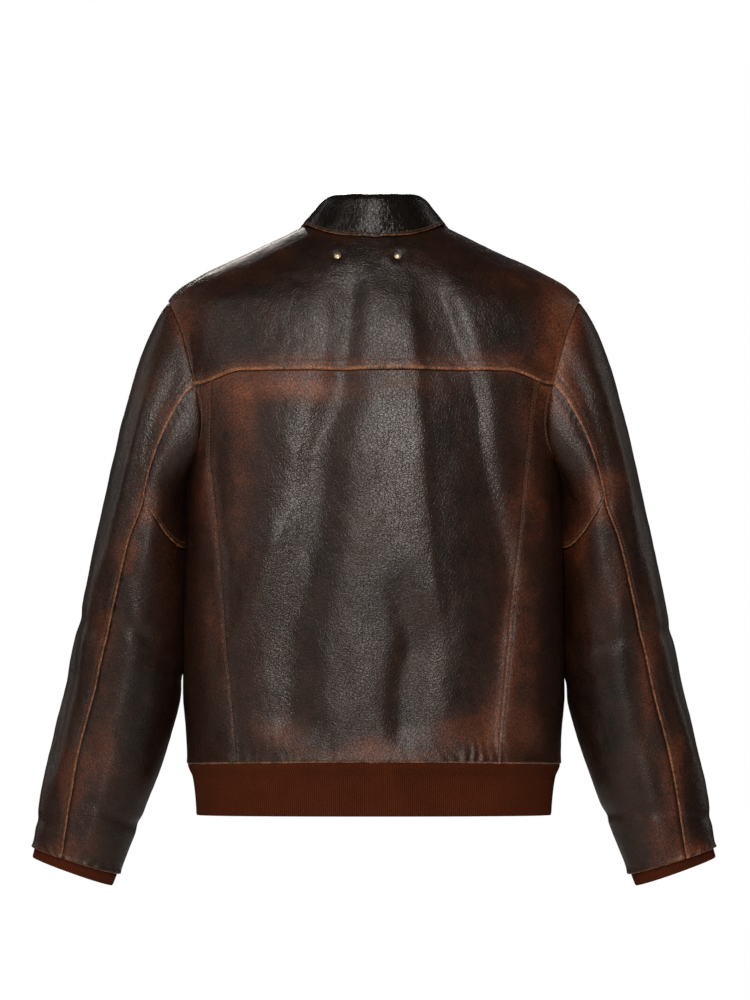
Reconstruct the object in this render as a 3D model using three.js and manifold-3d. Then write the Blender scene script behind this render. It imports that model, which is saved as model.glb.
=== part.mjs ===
// A leather blouson with a shirt collar, a yoked back, two-piece sleeves with an underarm gusset,
// a zip front and rib-knit trim, filled out as it is when it is worn.
//
// Millimetres. +Z is up, the front faces -Y and the wearer's left is +X. The origin lies midway
// between the two points where the shoulder seams meet the collar.
//
// The body is one smooth form, closed round by flat-sided ovals that change size with height. Every
// body panel is a patch of that form between four seams, and each sleeve is a tube that starts at its
// armhole. A panel is a wall: its outer face lies on the form, and its inner face is set in from it.
import * as THREE from "three";
import { mergeVertices } from "three/addons/utils/BufferGeometryUtils.js";
import Module from "manifold-3d";

// Walls and seams
const LEATHER = 1.8; // wall of a leather panel
const RIB = 1.8; // wall of the rib knit
const SEAM_GAP = 0.3; // between two panels that are sewn together

// Heights on the body
const NECK_POINT_Z = -2; // where the shoulder seam meets the collar
const NECK_BACK_Z = -9; // middle of the back neckline
const NECK_FRONT_Z = -75; // middle of the front neckline
const SHOULDER_POINT_Z = -86; // where the shoulder seam meets the sleeve
const YOKE_Z = -160; // yoke seam at the middle of the back
const UNDERARM_Z = -268;
const HEM_SEAM_Z = -594; // where the leather ends and the rib begins
const HEM_Z = -650;
const HEM_LIFT = 3; // the hem's middle is this much higher than its sides
const RIB_LEVELS = [-603, -612, -632, HEM_Z]; // rows of the rib below its seam

// Widths on the body
const NECK_HALF_WIDTH = 72;
const NECK_CURVE = 1.3; // how late the neckline falls towards the front
const OPENING_HALF_WIDTH = 5; // from the middle of the front to the edge of the leather

// The body's ovals, as [height, size] pairs
const HALF_WIDTHS = [
  [HEM_Z, 195], [-640, 195.5], [-609, 199], [HEM_SEAM_Z, 204.5], [-507, 207.5], [-349, 206],
  [UNDERARM_Z, 204], [-222, 211], [-178, 219], [-130, 226], [-100, 227.5], [SHOULDER_POINT_Z, 225],
  [-71.5, 212], [-58, 190], [-38.4, 148.5], [-18.7, 107], [NECK_POINT_Z, NECK_HALF_WIDTH], [10, 47],
];
const BACK_DEPTHS = [
  [HEM_Z, 117], [-609, 119], [HEM_SEAM_Z, 124], [-450, 126], [-350, 128], [UNDERARM_Z, 127],
  [-178, 121], [-120, 111], [-86, 101], [-58, 89], [-40, 79], [-20, 66], [-9, 58], [NECK_POINT_Z, 54],
  [10, 46],
];
const FRONT_DEPTHS = [
  [HEM_Z, 119], [-609, 121], [HEM_SEAM_Z, 126], [-450, 130], [-350, 132], [UNDERARM_Z, 131],
  [-178, 122], [-120, 108], [-86, 95], [NECK_FRONT_Z, 90], [-58, 83], [-40, 75], [-20, 65],
  [NECK_POINT_Z, 54], [10, 46],
];
const SQUARENESS = [[HEM_Z, 2.4], [UNDERARM_Z, 2.4], [-178, 2.3], [-86, 2.12], [-58, 2], [10, 2]];

// The armhole, seen from the side
const ARMHOLE = { squareness: 2.6, back: 64, front: 60, drop: 0.25 };

// The seams of the back
const YOKE_SAG = 3; // the yoke seam hangs this much lower near its ends
const YOKE_TURN = 145; // beyond this far across, it turns down to the middle of the armhole
const LEFT_BACK_SEAM = [[HEM_SEAM_Z, 153], [-361, 172], [-215, 183], [-170, 183]];
const RIGHT_BACK_SEAM = [[HEM_SEAM_Z, 138], [-361, 161], [-215, 174], [-170, 181]];
const SIDE_SEAM_FORWARD = 16;
const SIDE_SEAM_TURN = 60; // it reaches that place this far below the arm
const SHOULDER_SEAM_FORWARD = 5;

// The left sleeve, station by station from the upper arm to the cuff:
// [station, centre x, centre y, centre z, half width, half depth]. Station 0 is the armhole.
const SLEEVE = [
  [1, 251, -2, -300, 44, 70],
  [2, 257.5, -4, -350, 48.5, 68],
  [3, 266.8, -8, -428, 55.5, 62],
  [4, 274.6, -13, -500, 62.5, 55],
  [5, 293.5, -18, -575, 61, 49],
  [6, 311.8, -22, -640, 57, 44],
  [7, 328.4, -26, -700.5, 50.5, 39],
  [7.4, 334.4, -27, -718, 49.5, 38],
];
const SLEEVE_END = 7;
const SEWN_STATION = 0.01; // a place this near the armhole is sewn to it
const CUFF_START = 6.75; // the rib is set this far up inside the leather
const CUFF_END = 7.27;
const CUFF_CLEAR = 1.2; // between the leather's inner face and the cuff
const SLEEVE_BACK_SEAM = [[0, 90], [1, 88], [2, 76], [3, 68.5], [4, 63.5], [5, 63], [6, 67], [7, 72.5]];
const SLEEVE_FRONT_SEAM = 255; // degrees round the sleeve, from its top over the back
const GUSSET_DROP = 1; // how many stations the gusset seam falls below its two ends
const SLEEVE_LEAVES = { top: 0.62, bottom: 1 }; // how straight the sleeve leaves the armhole
// The way it leaves: out at the top and under the arm, fore or aft at the sides, and down
const LEAVE_WAY = { outTop: 0.74, outBottom: 0.1, aft: 0.3, down: 0.78 };
const UPPER_ARM = 0.4; // the sleeve is clear of the body from this station on
const UNDERARM_CLEAR = 0.5; // between the body and the sleeve's start under the arm
const SLEEVE_CLEAR = 2; // between the body and the sleeve that lies along it

// The collar
const COLLAR_ROLL = { halfWidth: 51, back: 50, front: 66, backZ: 30, sideZ: 18, frontZ: -50 };
// Its outer edge, as [degrees from the side of the neck, x, y, z]
const COLLAR_EDGE_BACK = [[0, 75.5, 0, -4], [30, 62, 36, -8.5], [60, 36, 58, -13], [90, 0, 66, -14]];
const COLLAR_EDGE_FRONT = [[0, 75.5, 0, -4], [30, 81, -44, -32], [60, 68, -82, -76], [86, 38, -100, -104]];
const COLLAR_END = 86; // degrees from the side of the neck to the collar's front end
const COLLAR_CLEAR = 1.6; // between the form of the body and the collar's leaf
const COLLAR_SEAM_DROP = 9; // the stand and the leaf meet this far below the roll line
const COLLAR_SPRING = 7; // the leaf stands this far out over the neck seam, before it settles
const STAND_LIFT = 0.025; // the stand starts this share of its height above the neckline
// The underside of the leaf's fold, as [out of the roll line, up along the stand]
const COLLAR_FOLD = [[0, -COLLAR_SEAM_DROP], [0, -4], [0.6, -1], [2.2, 0.4], [4, -0.6], [5, -3]];

// Metal trim
const STUD = { radius: 3.8, rim: 0.5, height: 2.2, leftX: 40, rightX: -26, z: -36 };
const ZIP = { chain: 3, tapeOuter: 15, tape: 0.8, tapeGap: 0.5, top: -88, tapeTop: -78, bottom: -640 };
const CHAIN_DEPTHS = [0.4, 2.6]; // its two faces, in from the leather's face
const STOP_DEPTHS = [-0.5, 2.8];
// The slider, measured down the zip from its origin and out of the leather's face
const SLIDER = { top: -8, bottom: 6, face: 0.5, plate: 1.5, back: -3.6, across: 5.4 };
const POST = { depth: 2.5, across: 1.2 };
const BAIL = { reach: 4, leg: 1, foot: 2, crown: 4.3, top: 5.3, bevel: 0.8, across: 0.8 };
// The pull tab, measured down from its axle
const TAB_AXLE = { down: 2, out: 3.1, radius: 0.75, halfLength: 3.2 };
const TAB = { plateFrom: 7, end: 28, half: 3.2, corner: 1.4, thick: 1.2 };
const TAB_ARM = { wide: 1, across: 2.7, from: -0.5 };
const TAB_REST_TILT = 3.5; // degrees that the tab hangs in towards the leather

// Rough sizes of the panels, [across, up], which say what share of a row the seam gap is
const SPAN = {
  backCentre: [330, 430], backSide: [80, 430], yoke: [400, 160], front: [250, 500],
  sleeveCap: [210, 200], sleeveArm: [160, 420], gusset: [160, 82],
};

const wasm = await Module();
wasm.setup();

const rad = THREE.MathUtils.degToRad;
const lerp = THREE.MathUtils.lerp;
const vec = (x, y, z) => new THREE.Vector3(x, y, z);
const between = (a, b, t) => a.clone().lerp(b, t);
const ease = (from, to, value) => THREE.MathUtils.smoothstep(value, from, to);

// A smooth curve through [at, value] knots, which never swings past them and is level beyond them.
function through(knots) {
  const rising = [...knots].sort((p, q) => p[0] - q[0]);
  const at = rising.map((k) => k[0]);
  const value = rising.map((k) => k[1]);
  const slope = at.slice(1).map((x, i) => (value[i + 1] - value[i]) / (x - at[i]));
  const last = slope.length - 1;
  const lean = at.map((x, i) => {
    if (i === 0) return slope[0];
    if (i > last) return slope[last];
    const [before, after] = [slope[i - 1], slope[i]];
    return before * after <= 0 ? 0 : (2 * before * after) / (before + after);
  });
  return (x) => {
    let i = 0;
    while (i < last && x > at[i + 1]) i++;
    const width = at[i + 1] - at[i];
    const t = THREE.MathUtils.clamp((x - at[i]) / width, 0, 1);
    const [t2, t3] = [t * t, t * t * t];
    return (
      (2 * t3 - 3 * t2 + 1) * value[i] + (t3 - 2 * t2 + t) * width * lean[i] +
      (3 * t2 - 2 * t3) * value[i + 1] + (t3 - t2) * width * lean[i + 1]
    );
  };
}

// How many facets each panel has. Panels that meet along a seam have their corners at the same places.
const ARMHOLE_STEP = 15; // degrees round the armhole
const ROWS_BELOW_ARM = 7;
const BACK_ROWS = ROWS_BELOW_ARM + 90 / ARMHOLE_STEP;
const FRONT_ROWS = ROWS_BELOW_ARM + 180 / ARMHOLE_STEP;
const NECK_ROWS = 6; // rows of the front beside the neckline
const CHEST_ROWS = FRONT_ROWS - ROWS_BELOW_ARM - NECK_ROWS;
const MIDDLE_COLUMNS = 12; // of the back's middle panel, and of the neckline over the back
const SIDE_COLUMNS = 5; // of a back side panel, and of the yoke along a shoulder seam
const FRONT_COLUMNS = 10;
const CAP_ROWS = 5; // of a sleeve above the upper arm
const ARM_ROWS = 9; // of a sleeve below it
const RIB_COLUMNS = 40;
const CUFF_COLUMNS = 24;
const SIDES = [["left", 1], ["right", -1]];

// ---------------------------------------------------------------- the body's form

const halfWidth = through(HALF_WIDTHS);
const backDepth = through(BACK_DEPTHS);
const frontDepth = through(FRONT_DEPTHS);
const squareness = through(SQUARENESS);

// 1 on the body's form, less inside it and more outside.
function fullness(p) {
  const power = squareness(p.z);
  const depth = p.y > 0 ? backDepth(p.z) : frontDepth(p.z);
  return (Math.abs(p.x) / halfWidth(p.z)) ** power + (Math.abs(p.y) / depth) ** power;
}

// The way out of the body at a point, of length 1, and how fast fullness grows along it.
function outward(p) {
  const step = 0.05;
  const slope = vec(
    fullness(vec(p.x + step, p.y, p.z)) - fullness(vec(p.x - step, p.y, p.z)),
    fullness(vec(p.x, p.y + step, p.z)) - fullness(vec(p.x, p.y - step, p.z)),
    fullness(vec(p.x, p.y, p.z + step)) - fullness(vec(p.x, p.y, p.z - step)),
  ).divideScalar(2 * step);
  const rate = slope.length();
  return { way: slope.divideScalar(rate), rate };
}

// A point carried straight out to the body's form: level below the arms, and fanning out above them.
function ontoBody(p) {
  const base = Math.min(p.z, UNDERARM_Z);
  const way = vec(p.x, p.y, p.z - base);
  const at = (r) => vec(way.x * r, way.y * r, base + way.z * r);
  let [low, high] = [0.2, 4];
  for (let i = 0; i < 40; i++) {
    const middle = (low + high) / 2;
    if (fullness(at(middle)) < 1) low = middle;
    else high = middle;
  }
  return at(high);
}

// A point moved along the way out until it stands a set distance off the form.
function offBody(p, distance) {
  const moved = p.clone();
  for (let i = 0; i < 6; i++) {
    const { way, rate } = outward(moved);
    moved.addScaledVector(way, distance - (fullness(moved) - 1) / rate);
  }
  return moved;
}

// The point of the back, or of the front, at a place across and a height.
function onBack(x, z) {
  const power = squareness(z);
  const share = 1 - Math.min(1, Math.abs(x) / halfWidth(z)) ** power;
  return vec(x, backDepth(z) * share ** (1 / power), z);
}
function onFront(x, z) {
  const power = squareness(z);
  const share = 1 - Math.min(1, Math.abs(x) / halfWidth(z)) ** power;
  return vec(x, -frontDepth(z) * share ** (1 / power), z);
}

// The point of the side, at a place fore or aft and a height. side is 1 on the left and -1 on the right.
function onSide(side, y, z) {
  const power = squareness(z);
  const depth = y > 0 ? backDepth(z) : frontDepth(z);
  return vec(side * halfWidth(z) * (1 - (Math.abs(y) / depth) ** power) ** (1 / power), y, z);
}

// ---------------------------------------------------------------- the seams

// Height of the hem, or of the hem seam, round the body: a little higher in the middle.
function hemHeight(level, p) {
  return level + HEM_LIFT * (1 - Math.min(1, Math.abs(p.x) / halfWidth(level)) ** 2);
}

// The armhole, by degrees from its top over the back, under the arm and up the front.
function armhole(side, degrees) {
  const turn = rad(degrees);
  const rounded = (v) => Math.sign(v) * Math.abs(v) ** (2 / ARMHOLE.squareness);
  const up = rounded(Math.cos(turn));
  const along = rounded(Math.sin(turn));
  const reach = along > 0 ? ARMHOLE.back : ARMHOLE.front;
  const middle = (SHOULDER_POINT_Z + UNDERARM_Z) / 2;
  const z = middle + ((SHOULDER_POINT_Z - UNDERARM_Z) / 2) * up;
  return onSide(side, reach * along * (1 - ARMHOLE.drop * up), z);
}

// The yoke seam's height at a place across. Its ends are at the armholes' rearmost points.
const yokeEnd = armhole(1, 90);
function yokeZ(x) {
  const across = Math.abs(x);
  const fall = YOKE_Z - YOKE_SAG - yokeEnd.z;
  return YOKE_Z - YOKE_SAG * (across / yokeEnd.x) ** 2 - fall * ease(YOKE_TURN, yokeEnd.x, across);
}

const leftBackSeam = through(LEFT_BACK_SEAM);
const rightBackSeam = through(RIGHT_BACK_SEAM);
function backSeamX(side, z) {
  return side > 0 ? leftBackSeam(z) : -rightBackSeam(z);
}

// The share of a back panel's rows that lies below the arms
const BACK_BREAK = ROWS_BELOW_ARM / BACK_ROWS;

// The long seam of the back, from the hem seam (v = 0) to the yoke seam (v = 1).
function backSeam(side, v) {
  const foot = hemHeight(HEM_SEAM_Z, vec(backSeamX(side, HEM_SEAM_Z), 0, 0));
  let top = YOKE_Z;
  for (let i = 0; i < 20; i++) top = yokeZ(backSeamX(side, top));
  const z = v < BACK_BREAK
    ? lerp(foot, UNDERARM_Z, v / BACK_BREAK)
    : lerp(UNDERARM_Z, top, (v - BACK_BREAK) / (1 - BACK_BREAK));
  return onBack(backSeamX(side, z), z);
}

function sideSeam(side, share) {
  const z = lerp(HEM_SEAM_Z, UNDERARM_Z, share);
  return onSide(side, -SIDE_SEAM_FORWARD * ease(0, SIDE_SEAM_TURN, UNDERARM_Z - z), z);
}

// The neckline, by degrees from the left side of the neck: 90 is the middle of the back, -90 of the front.
function neckline(degrees) {
  const turn = rad(degrees);
  const back = Math.sin(turn) >= 0;
  const fall = back
    ? (NECK_POINT_Z - NECK_BACK_Z) * Math.sin(turn) ** 2
    : (NECK_POINT_Z - NECK_FRONT_Z) * Math.abs(Math.sin(turn)) ** NECK_CURVE;
  const x = NECK_HALF_WIDTH * Math.cos(turn);
  const z = NECK_POINT_Z - fall;
  return back ? onBack(x, z) : onFront(x, z);
}

// The shoulder seam, from the neck (0) to the sleeve (1), a little forward of the ridge.
function shoulderSeam(side, share) {
  const neck = vec(side * NECK_HALF_WIDTH, 0, NECK_POINT_Z);
  const end = vec(side * halfWidth(SHOULDER_POINT_Z), 0, SHOULDER_POINT_Z);
  const p = between(neck, end, share);
  p.y = -SHOULDER_SEAM_FORWARD * Math.sin(Math.PI * share);
  return share <= 0 || share >= 1 ? p : ontoBody(p);
}

// ---------------------------------------------------------------- the sleeve's form

const sleeveX = through(SLEEVE.map((s) => [s[0], s[1]]));
const sleeveY = through(SLEEVE.map((s) => [s[0], s[2]]));
const sleeveZ = through(SLEEVE.map((s) => [s[0], s[3]]));
const sleeveHalfWidth = through(SLEEVE.map((s) => [s[0], s[4]]));
const sleeveHalfDepth = through(SLEEVE.map((s) => [s[0], s[5]]));
const sleeveBackSeam = through(SLEEVE_BACK_SEAM);

const sleeveCentre = (station) => vec(sleeveX(station), sleeveY(station), sleeveZ(station));

// The left sleeve's oval at a station below the armhole.
function sleeveRing(degrees, station) {
  const step = 0.02;
  const down = sleeveCentre(station + step).sub(sleeveCentre(station - step)).normalize();
  const outwards = vec(-down.z, 0, down.x).normalize();
  const backwards = outwards.clone().cross(down).normalize();
  const turn = rad(degrees);
  return sleeveCentre(station)
    .addScaledVector(outwards, sleeveHalfWidth(station) * Math.cos(turn))
    .addScaledVector(backwards, sleeveHalfDepth(station) * Math.sin(turn));
}

// The way a sleeve leaves the armhole: out over the shoulder at its top, and down under the arm.
function leaveArmhole(degrees) {
  const turn = rad(degrees);
  const top = (1 + Math.cos(turn)) / 2;
  const aft = Math.sin(turn);
  const { outTop, outBottom, aft: spread, down } = LEAVE_WAY;
  return vec(lerp(outBottom, outTop, top) + spread * Math.abs(aft), spread * aft, -down).normalize();
}

// The left sleeve as it would hang on its own, by degrees from its top over the back and by station.
function freeSleeve(degrees, station) {
  if (station >= 1) return sleeveRing(degrees, station);
  const low = (1 - Math.cos(rad(degrees))) / 2;
  const start = armhole(1, degrees);
  start.addScaledVector(outward(start).way, UNDERARM_CLEAR * low ** 2);
  const end = sleeveRing(degrees, 1);
  const reach = start.distanceTo(end);
  const straight = lerp(SLEEVE_LEAVES.top, SLEEVE_LEAVES.bottom, low);
  const leave = leaveArmhole(degrees).multiplyScalar(reach * straight);
  const arrive = sleeveRing(degrees, 1.02).sub(end).normalize().multiplyScalar(reach);
  const [t, t2, t3] = [station, station ** 2, station ** 3];
  return start.multiplyScalar(2 * t3 - 3 * t2 + 1)
    .addScaledVector(leave, t3 - 2 * t2 + t)
    .addScaledVector(end, 3 * t2 - 2 * t3)
    .addScaledVector(arrive, t3 - t2);
}

// A place on a sleeve, which lies along the body's side without touching it.
function sleeve(side, degrees, station) {
  const p = freeSleeve(degrees, station);
  const low = (1 - Math.cos(rad(degrees))) / 2;
  const clear = SLEEVE_CLEAR * low * ease(0, UPPER_ARM, station);
  const touches = low > 0.5 && station > 0 && fullness(p) < 1 + clear * outward(p).rate;
  const placed = touches ? offBody(p, clear) : p;
  return vec(side * placed.x, placed.y, placed.z);
}

// The way out of a sleeve at a place on it.
function sleeveOutward(side, degrees, station) {
  const [turn, step] = [1, 0.03];
  const from = Math.max(0, station - step);
  const round = sleeve(side, degrees + turn, station).sub(sleeve(side, degrees - turn, station));
  const along = sleeve(side, degrees, station + step).sub(sleeve(side, degrees, from));
  return round.cross(along).multiplyScalar(-side).normalize();
}

// The way across a wall's edge where it is sewn to another wall: halfway between the two walls' own
// ways out, unless the seam is folded so sharply that the walls lie face to face.
const [FACING, FLAT] = [0.2, 0.8]; // how far two walls' ways out agree
function mitred(own, other) {
  return own.clone().lerp(other, 0.5 * ease(FACING, FLAT, own.dot(other))).normalize();
}

// The way across a body panel's edge at the armhole, and at the neckline.
function armholeEdge(side, degrees) {
  return mitred(outward(armhole(side, degrees)).way, sleeveOutward(side, degrees, 0));
}
function necklineEdge(degrees) {
  return mitred(outward(neckline(degrees)).way, standOutward(degrees));
}

// ---------------------------------------------------------------- making walls

// The places of a row of n steps. The two ends are set in by half a seam.
function places(steps, length, atStart = true, atEnd = true) {
  const inset = SEAM_GAP / 2 / length;
  return Array.from({ length: steps + 1 }, (_, i) => {
    if (i === 0) return atStart ? inset : 0;
    if (i === steps) return atEnd ? 1 - inset : 1;
    return i / steps;
  });
}

// A closed wall between two faces, each a grid of points.
function wallBetween(outer, inner) {
  const [rows, columns] = [outer.length, outer[0].length];
  const points = [...outer.flat(), ...inner.flat()];
  const half = rows * columns;
  const faces = [];
  const quad = (a, b, c, d) => faces.push(a, b, c, a, c, d);
  const at = (i, j) => i * columns + j;
  for (let i = 0; i < rows - 1; i++) {
    for (let j = 0; j < columns - 1; j++) {
      quad(at(i, j), at(i, j + 1), at(i + 1, j + 1), at(i + 1, j));
      quad(half + at(i, j), half + at(i + 1, j), half + at(i + 1, j + 1), half + at(i, j + 1));
    }
  }
  const rim = [];
  for (let j = 0; j < columns - 1; j++) rim.push(at(0, j));
  for (let i = 0; i < rows - 1; i++) rim.push(at(i, columns - 1));
  for (let j = columns - 1; j > 0; j--) rim.push(at(rows - 1, j));
  for (let i = rows - 1; i > 0; i--) rim.push(at(i, 0));
  rim.forEach((a, k) => {
    const b = rim[(k + 1) % rim.length];
    quad(b, a, half + a, half + b);
  });
  return closed(points, faces);
}

// A closed ring between two faces whose rows run all the way round.
function ringBetween(outer, inner) {
  const [rows, columns] = [outer.length, outer[0].length];
  const points = [...outer.flat(), ...inner.flat()];
  const half = rows * columns;
  const faces = [];
  const quad = (a, b, c, d) => faces.push(a, b, c, a, c, d);
  const at = (i, j) => i * columns + (j % columns);
  for (let j = 0; j < columns; j++) {
    for (let i = 0; i < rows - 1; i++) {
      quad(at(i, j), at(i, j + 1), at(i + 1, j + 1), at(i + 1, j));
      quad(half + at(i, j), half + at(i + 1, j), half + at(i + 1, j + 1), half + at(i, j + 1));
    }
    const last = rows - 1;
    quad(at(0, j + 1), at(0, j), half + at(0, j), half + at(0, j + 1));
    quad(at(last, j), at(last, j + 1), half + at(last, j + 1), half + at(last, j));
  }
  return closed(points, faces);
}

// A geometry from points and triangles, turned so that its faces point out.
function closed(points, faces) {
  const [a, b, c] = [vec(0, 0, 0), vec(0, 0, 0), vec(0, 0, 0)];
  let volume = 0;
  for (let i = 0; i < faces.length; i += 3) {
    a.copy(points[faces[i]]);
    b.copy(points[faces[i + 1]]);
    c.copy(points[faces[i + 2]]);
    volume += a.dot(b.cross(c));
  }
  if (volume < 0) faces.reverse();
  return new THREE.BufferGeometry().setFromPoints(points).setIndex(faces);
}

// A patch of the body between four seams, as a function of s and v from 0 to 1.
function bodyPatch(bottom, top, left, right) {
  const corners = [bottom(0), bottom(1), top(0), top(1)];
  return (s, v) => {
    const p = bottom(s).multiplyScalar(1 - v)
      .addScaledVector(top(s), v)
      .addScaledVector(left(v), 1 - s)
      .addScaledVector(right(v), s)
      .addScaledVector(corners[0], -(1 - s) * (1 - v))
      .addScaledVector(corners[1], -s * (1 - v))
      .addScaledVector(corners[2], -(1 - s) * v)
      .addScaledVector(corners[3], -s * v);
    return ontoBody(p);
  };
}

// The wall of a body panel. edgeWay gives the way across an edge that is sewn at an angle.
function bodyPanel(patch, across, up, edgeWay = () => null) {
  const outer = up.map((v) => across.map((s) => patch(s, v)));
  const inner = outer.map((row, i) => row.map((p, j) =>
    p.clone().addScaledVector(edgeWay(i, j) ?? outward(p).way, -LEATHER)));
  return wallBetween(outer, inner);
}

// ---------------------------------------------------------------- finishes

const finish = (color, roughness, metalness = 0) =>
  new THREE.MeshStandardMaterial({ color, roughness, metalness });
const leather = finish(0x3a261e, 0.42);
const collarLeather = finish(0x231b18, 0.32);
const rib = finish(0x5a260f, 0.95);
const tapeCloth = finish(0x1c1512, 0.9);
const brass = finish(0x9a8762, 0.35, 1);

const jacket = new THREE.Group();
function add(name, geometry, material) {
  const mesh = new THREE.Mesh(geometry, material);
  mesh.name = name;
  jacket.add(mesh);
  return mesh;
}

// ---------------------------------------------------------------- the body's panels

// A seam straight across the body between two points, level with the hem.
function hemSeam(from, to) {
  return (s) => {
    const p = ontoBody(vec(lerp(from.x, to.x, s), lerp(from.y, to.y, s), HEM_SEAM_Z));
    const level = hemHeight(HEM_SEAM_Z, p);
    return ontoBody(vec(p.x, p.y, level));
  };
}

function yokeSeam(fromX, toX) {
  return (s) => {
    const x = lerp(fromX, toX, s);
    return onBack(x, yokeZ(x));
  };
}

const backRows = places(BACK_ROWS, SPAN.backCentre[1]);

function makeBackCentre() {
  const [left, right] = [(v) => backSeam(1, v), (v) => backSeam(-1, v)];
  const patch = bodyPatch(
    hemSeam(left(0), right(0)), yokeSeam(left(1).x, right(1).x), left, right,
  );
  add("back_centre", bodyPanel(patch, places(MIDDLE_COLUMNS, SPAN.backCentre[0]), backRows), leather);
}

function makeBackSides() {
  for (const [name, side] of SIDES) {
    const armholeTurn = (v) => lerp(180, 90, (v - BACK_BREAK) / (1 - BACK_BREAK));
    const inner = (v) => backSeam(side, v);
    const outer = (v) => v < BACK_BREAK ? sideSeam(side, v / BACK_BREAK) : armhole(side, armholeTurn(v));
    const top = yokeSeam(inner(1).x, outer(1).x);
    const patch = bodyPatch(hemSeam(inner(0), outer(0)), top, inner, outer);
    const edgeWay = (i, j) =>
      j === SIDE_COLUMNS && i >= ROWS_BELOW_ARM ? armholeEdge(side, armholeTurn(i / BACK_ROWS)) : null;
    const across = places(SIDE_COLUMNS, SPAN.backSide[0]);
    add(`back_side_${name}`, bodyPanel(patch, across, backRows, edgeWay), leather);
  }
}

// The yoke: its lower edge is the yoke seam, and its upper edge follows a shoulder seam, the back of
// the neckline and the other shoulder seam.
function makeYoke() {
  const columns = MIDDLE_COLUMNS + 2 * SIDE_COLUMNS;
  const rows = 90 / ARMHOLE_STEP;
  const share = SIDE_COLUMNS / columns;
  const corners = [yokeEnd.x, backSeam(1, 1).x, backSeam(-1, 1).x, -yokeEnd.x];
  const bottom = (s) => {
    let x = lerp(corners[1], corners[2], (s - share) / (1 - 2 * share));
    if (s < share) x = lerp(corners[0], corners[1], s / share);
    if (s > 1 - share) x = lerp(corners[2], corners[3], (s - 1 + share) / share);
    return onBack(x, yokeZ(x));
  };
  const necklineTurn = (s) => (180 * (s - share)) / (1 - 2 * share);
  const top = (s) => {
    if (s < share) return shoulderSeam(1, 1 - s / share);
    if (s > 1 - share) return shoulderSeam(-1, (s - 1 + share) / share);
    return neckline(necklineTurn(s));
  };
  const edge = (side) => (v) => armhole(side, lerp(90, 0, v));
  const edgeWay = (i, j) => {
    if (j === 0) return armholeEdge(1, lerp(90, 0, i / rows));
    if (j === columns) return armholeEdge(-1, lerp(90, 0, i / rows));
    const onNeckline = i === rows && j >= SIDE_COLUMNS && j <= columns - SIDE_COLUMNS;
    return onNeckline ? necklineEdge(necklineTurn(j / columns)) : null;
  };
  const patch = bodyPatch(bottom, top, edge(1), edge(-1));
  const [across, up] = [places(columns, SPAN.yoke[0]), places(rows, SPAN.yoke[1])];
  add("back_yoke", bodyPanel(patch, across, up, edgeWay), leather);
}

// The inner edge of a front, as shares of its rows: up beside the zip, then round the neckline
const FRONT_BREAK = ROWS_BELOW_ARM / FRONT_ROWS;
const NECK_BREAK = (ROWS_BELOW_ARM + CHEST_ROWS) / FRONT_ROWS;
function frontEdgeZ(v) {
  return v < FRONT_BREAK
    ? lerp(HEM_SEAM_Z + HEM_LIFT, UNDERARM_Z, v / FRONT_BREAK)
    : lerp(UNDERARM_Z, NECK_FRONT_Z, (v - FRONT_BREAK) / (NECK_BREAK - FRONT_BREAK));
}
const frontNecklineTurn = (v) => lerp(-COLLAR_END, 0, (v - NECK_BREAK) / (1 - NECK_BREAK));

function makeFronts() {
  for (const [name, side] of SIDES) {
    const edge = (v) => {
      if (v < NECK_BREAK) return onFront(side * OPENING_HALF_WIDTH, frontEdgeZ(v));
      const p = neckline(frontNecklineTurn(v));
      return p.setX(side * p.x);
    };
    const armholeTurn = (v) => lerp(180, 360, (v - FRONT_BREAK) / (1 - FRONT_BREAK));
    const outer = (v) => v < FRONT_BREAK ? sideSeam(side, v / FRONT_BREAK) : armhole(side, armholeTurn(v));
    const patch = bodyPatch(hemSeam(edge(0), outer(0)), (s) => shoulderSeam(side, s), edge, outer);
    const edgeWay = (i, j) => {
      if (j === FRONT_COLUMNS && i >= ROWS_BELOW_ARM) return armholeEdge(side, armholeTurn(i / FRONT_ROWS));
      if (j > 0 || i < ROWS_BELOW_ARM + CHEST_ROWS) return null;
      const way = necklineEdge(frontNecklineTurn(i / FRONT_ROWS));
      return way.setX(side * way.x);
    };
    const [across, up] = [places(FRONT_COLUMNS, SPAN.front[0]), places(FRONT_ROWS, SPAN.front[1])];
    add(`front_${name}`, bodyPanel(patch, across, up, edgeWay), leather);
  }
}

// The rib band round the hem, open where the zip runs through it.
function makeHemRib() {
  const start = -90 + THREE.MathUtils.radToDeg(Math.atan(OPENING_HALF_WIDTH / frontDepth(HEM_Z)));
  const turns = Array.from({ length: RIB_COLUMNS + 1 }, (_, i) => lerp(start, 180 - start, i / RIB_COLUMNS));
  const radius = halfWidth(HEM_Z) / 2;
  const outer = [HEM_SEAM_Z - SEAM_GAP, ...RIB_LEVELS].map((level) => turns.map((turn) => {
    const p = ontoBody(vec(radius * Math.cos(rad(turn)), radius * Math.sin(rad(turn)), level));
    return ontoBody(p.setZ(hemHeight(level, p)));
  }));
  const inner = outer.map((row) => row.map((p) => p.clone().addScaledVector(outward(p).way, -RIB)));
  add("hem_rib", wallBetween(outer, inner), rib);
}

// ---------------------------------------------------------------- the sleeves

// A sleeve panel: cells gives the degrees and the station of each place on it.
function sleevePanel(side, cells) {
  const outer = cells.map((row) => row.map(([degrees, station]) => sleeve(side, degrees, station)));
  const inner = cells.map((row, i) => row.map(([degrees, station], j) => {
    const own = sleeveOutward(side, degrees, station);
    const atArmhole = station < SEWN_STATION;
    const way = atArmhole ? mitred(own, outward(armhole(side, degrees)).way) : own;
    return outer[i][j].clone().addScaledVector(way, -LEATHER);
  }));
  return wallBetween(outer, inner);
}

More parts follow.
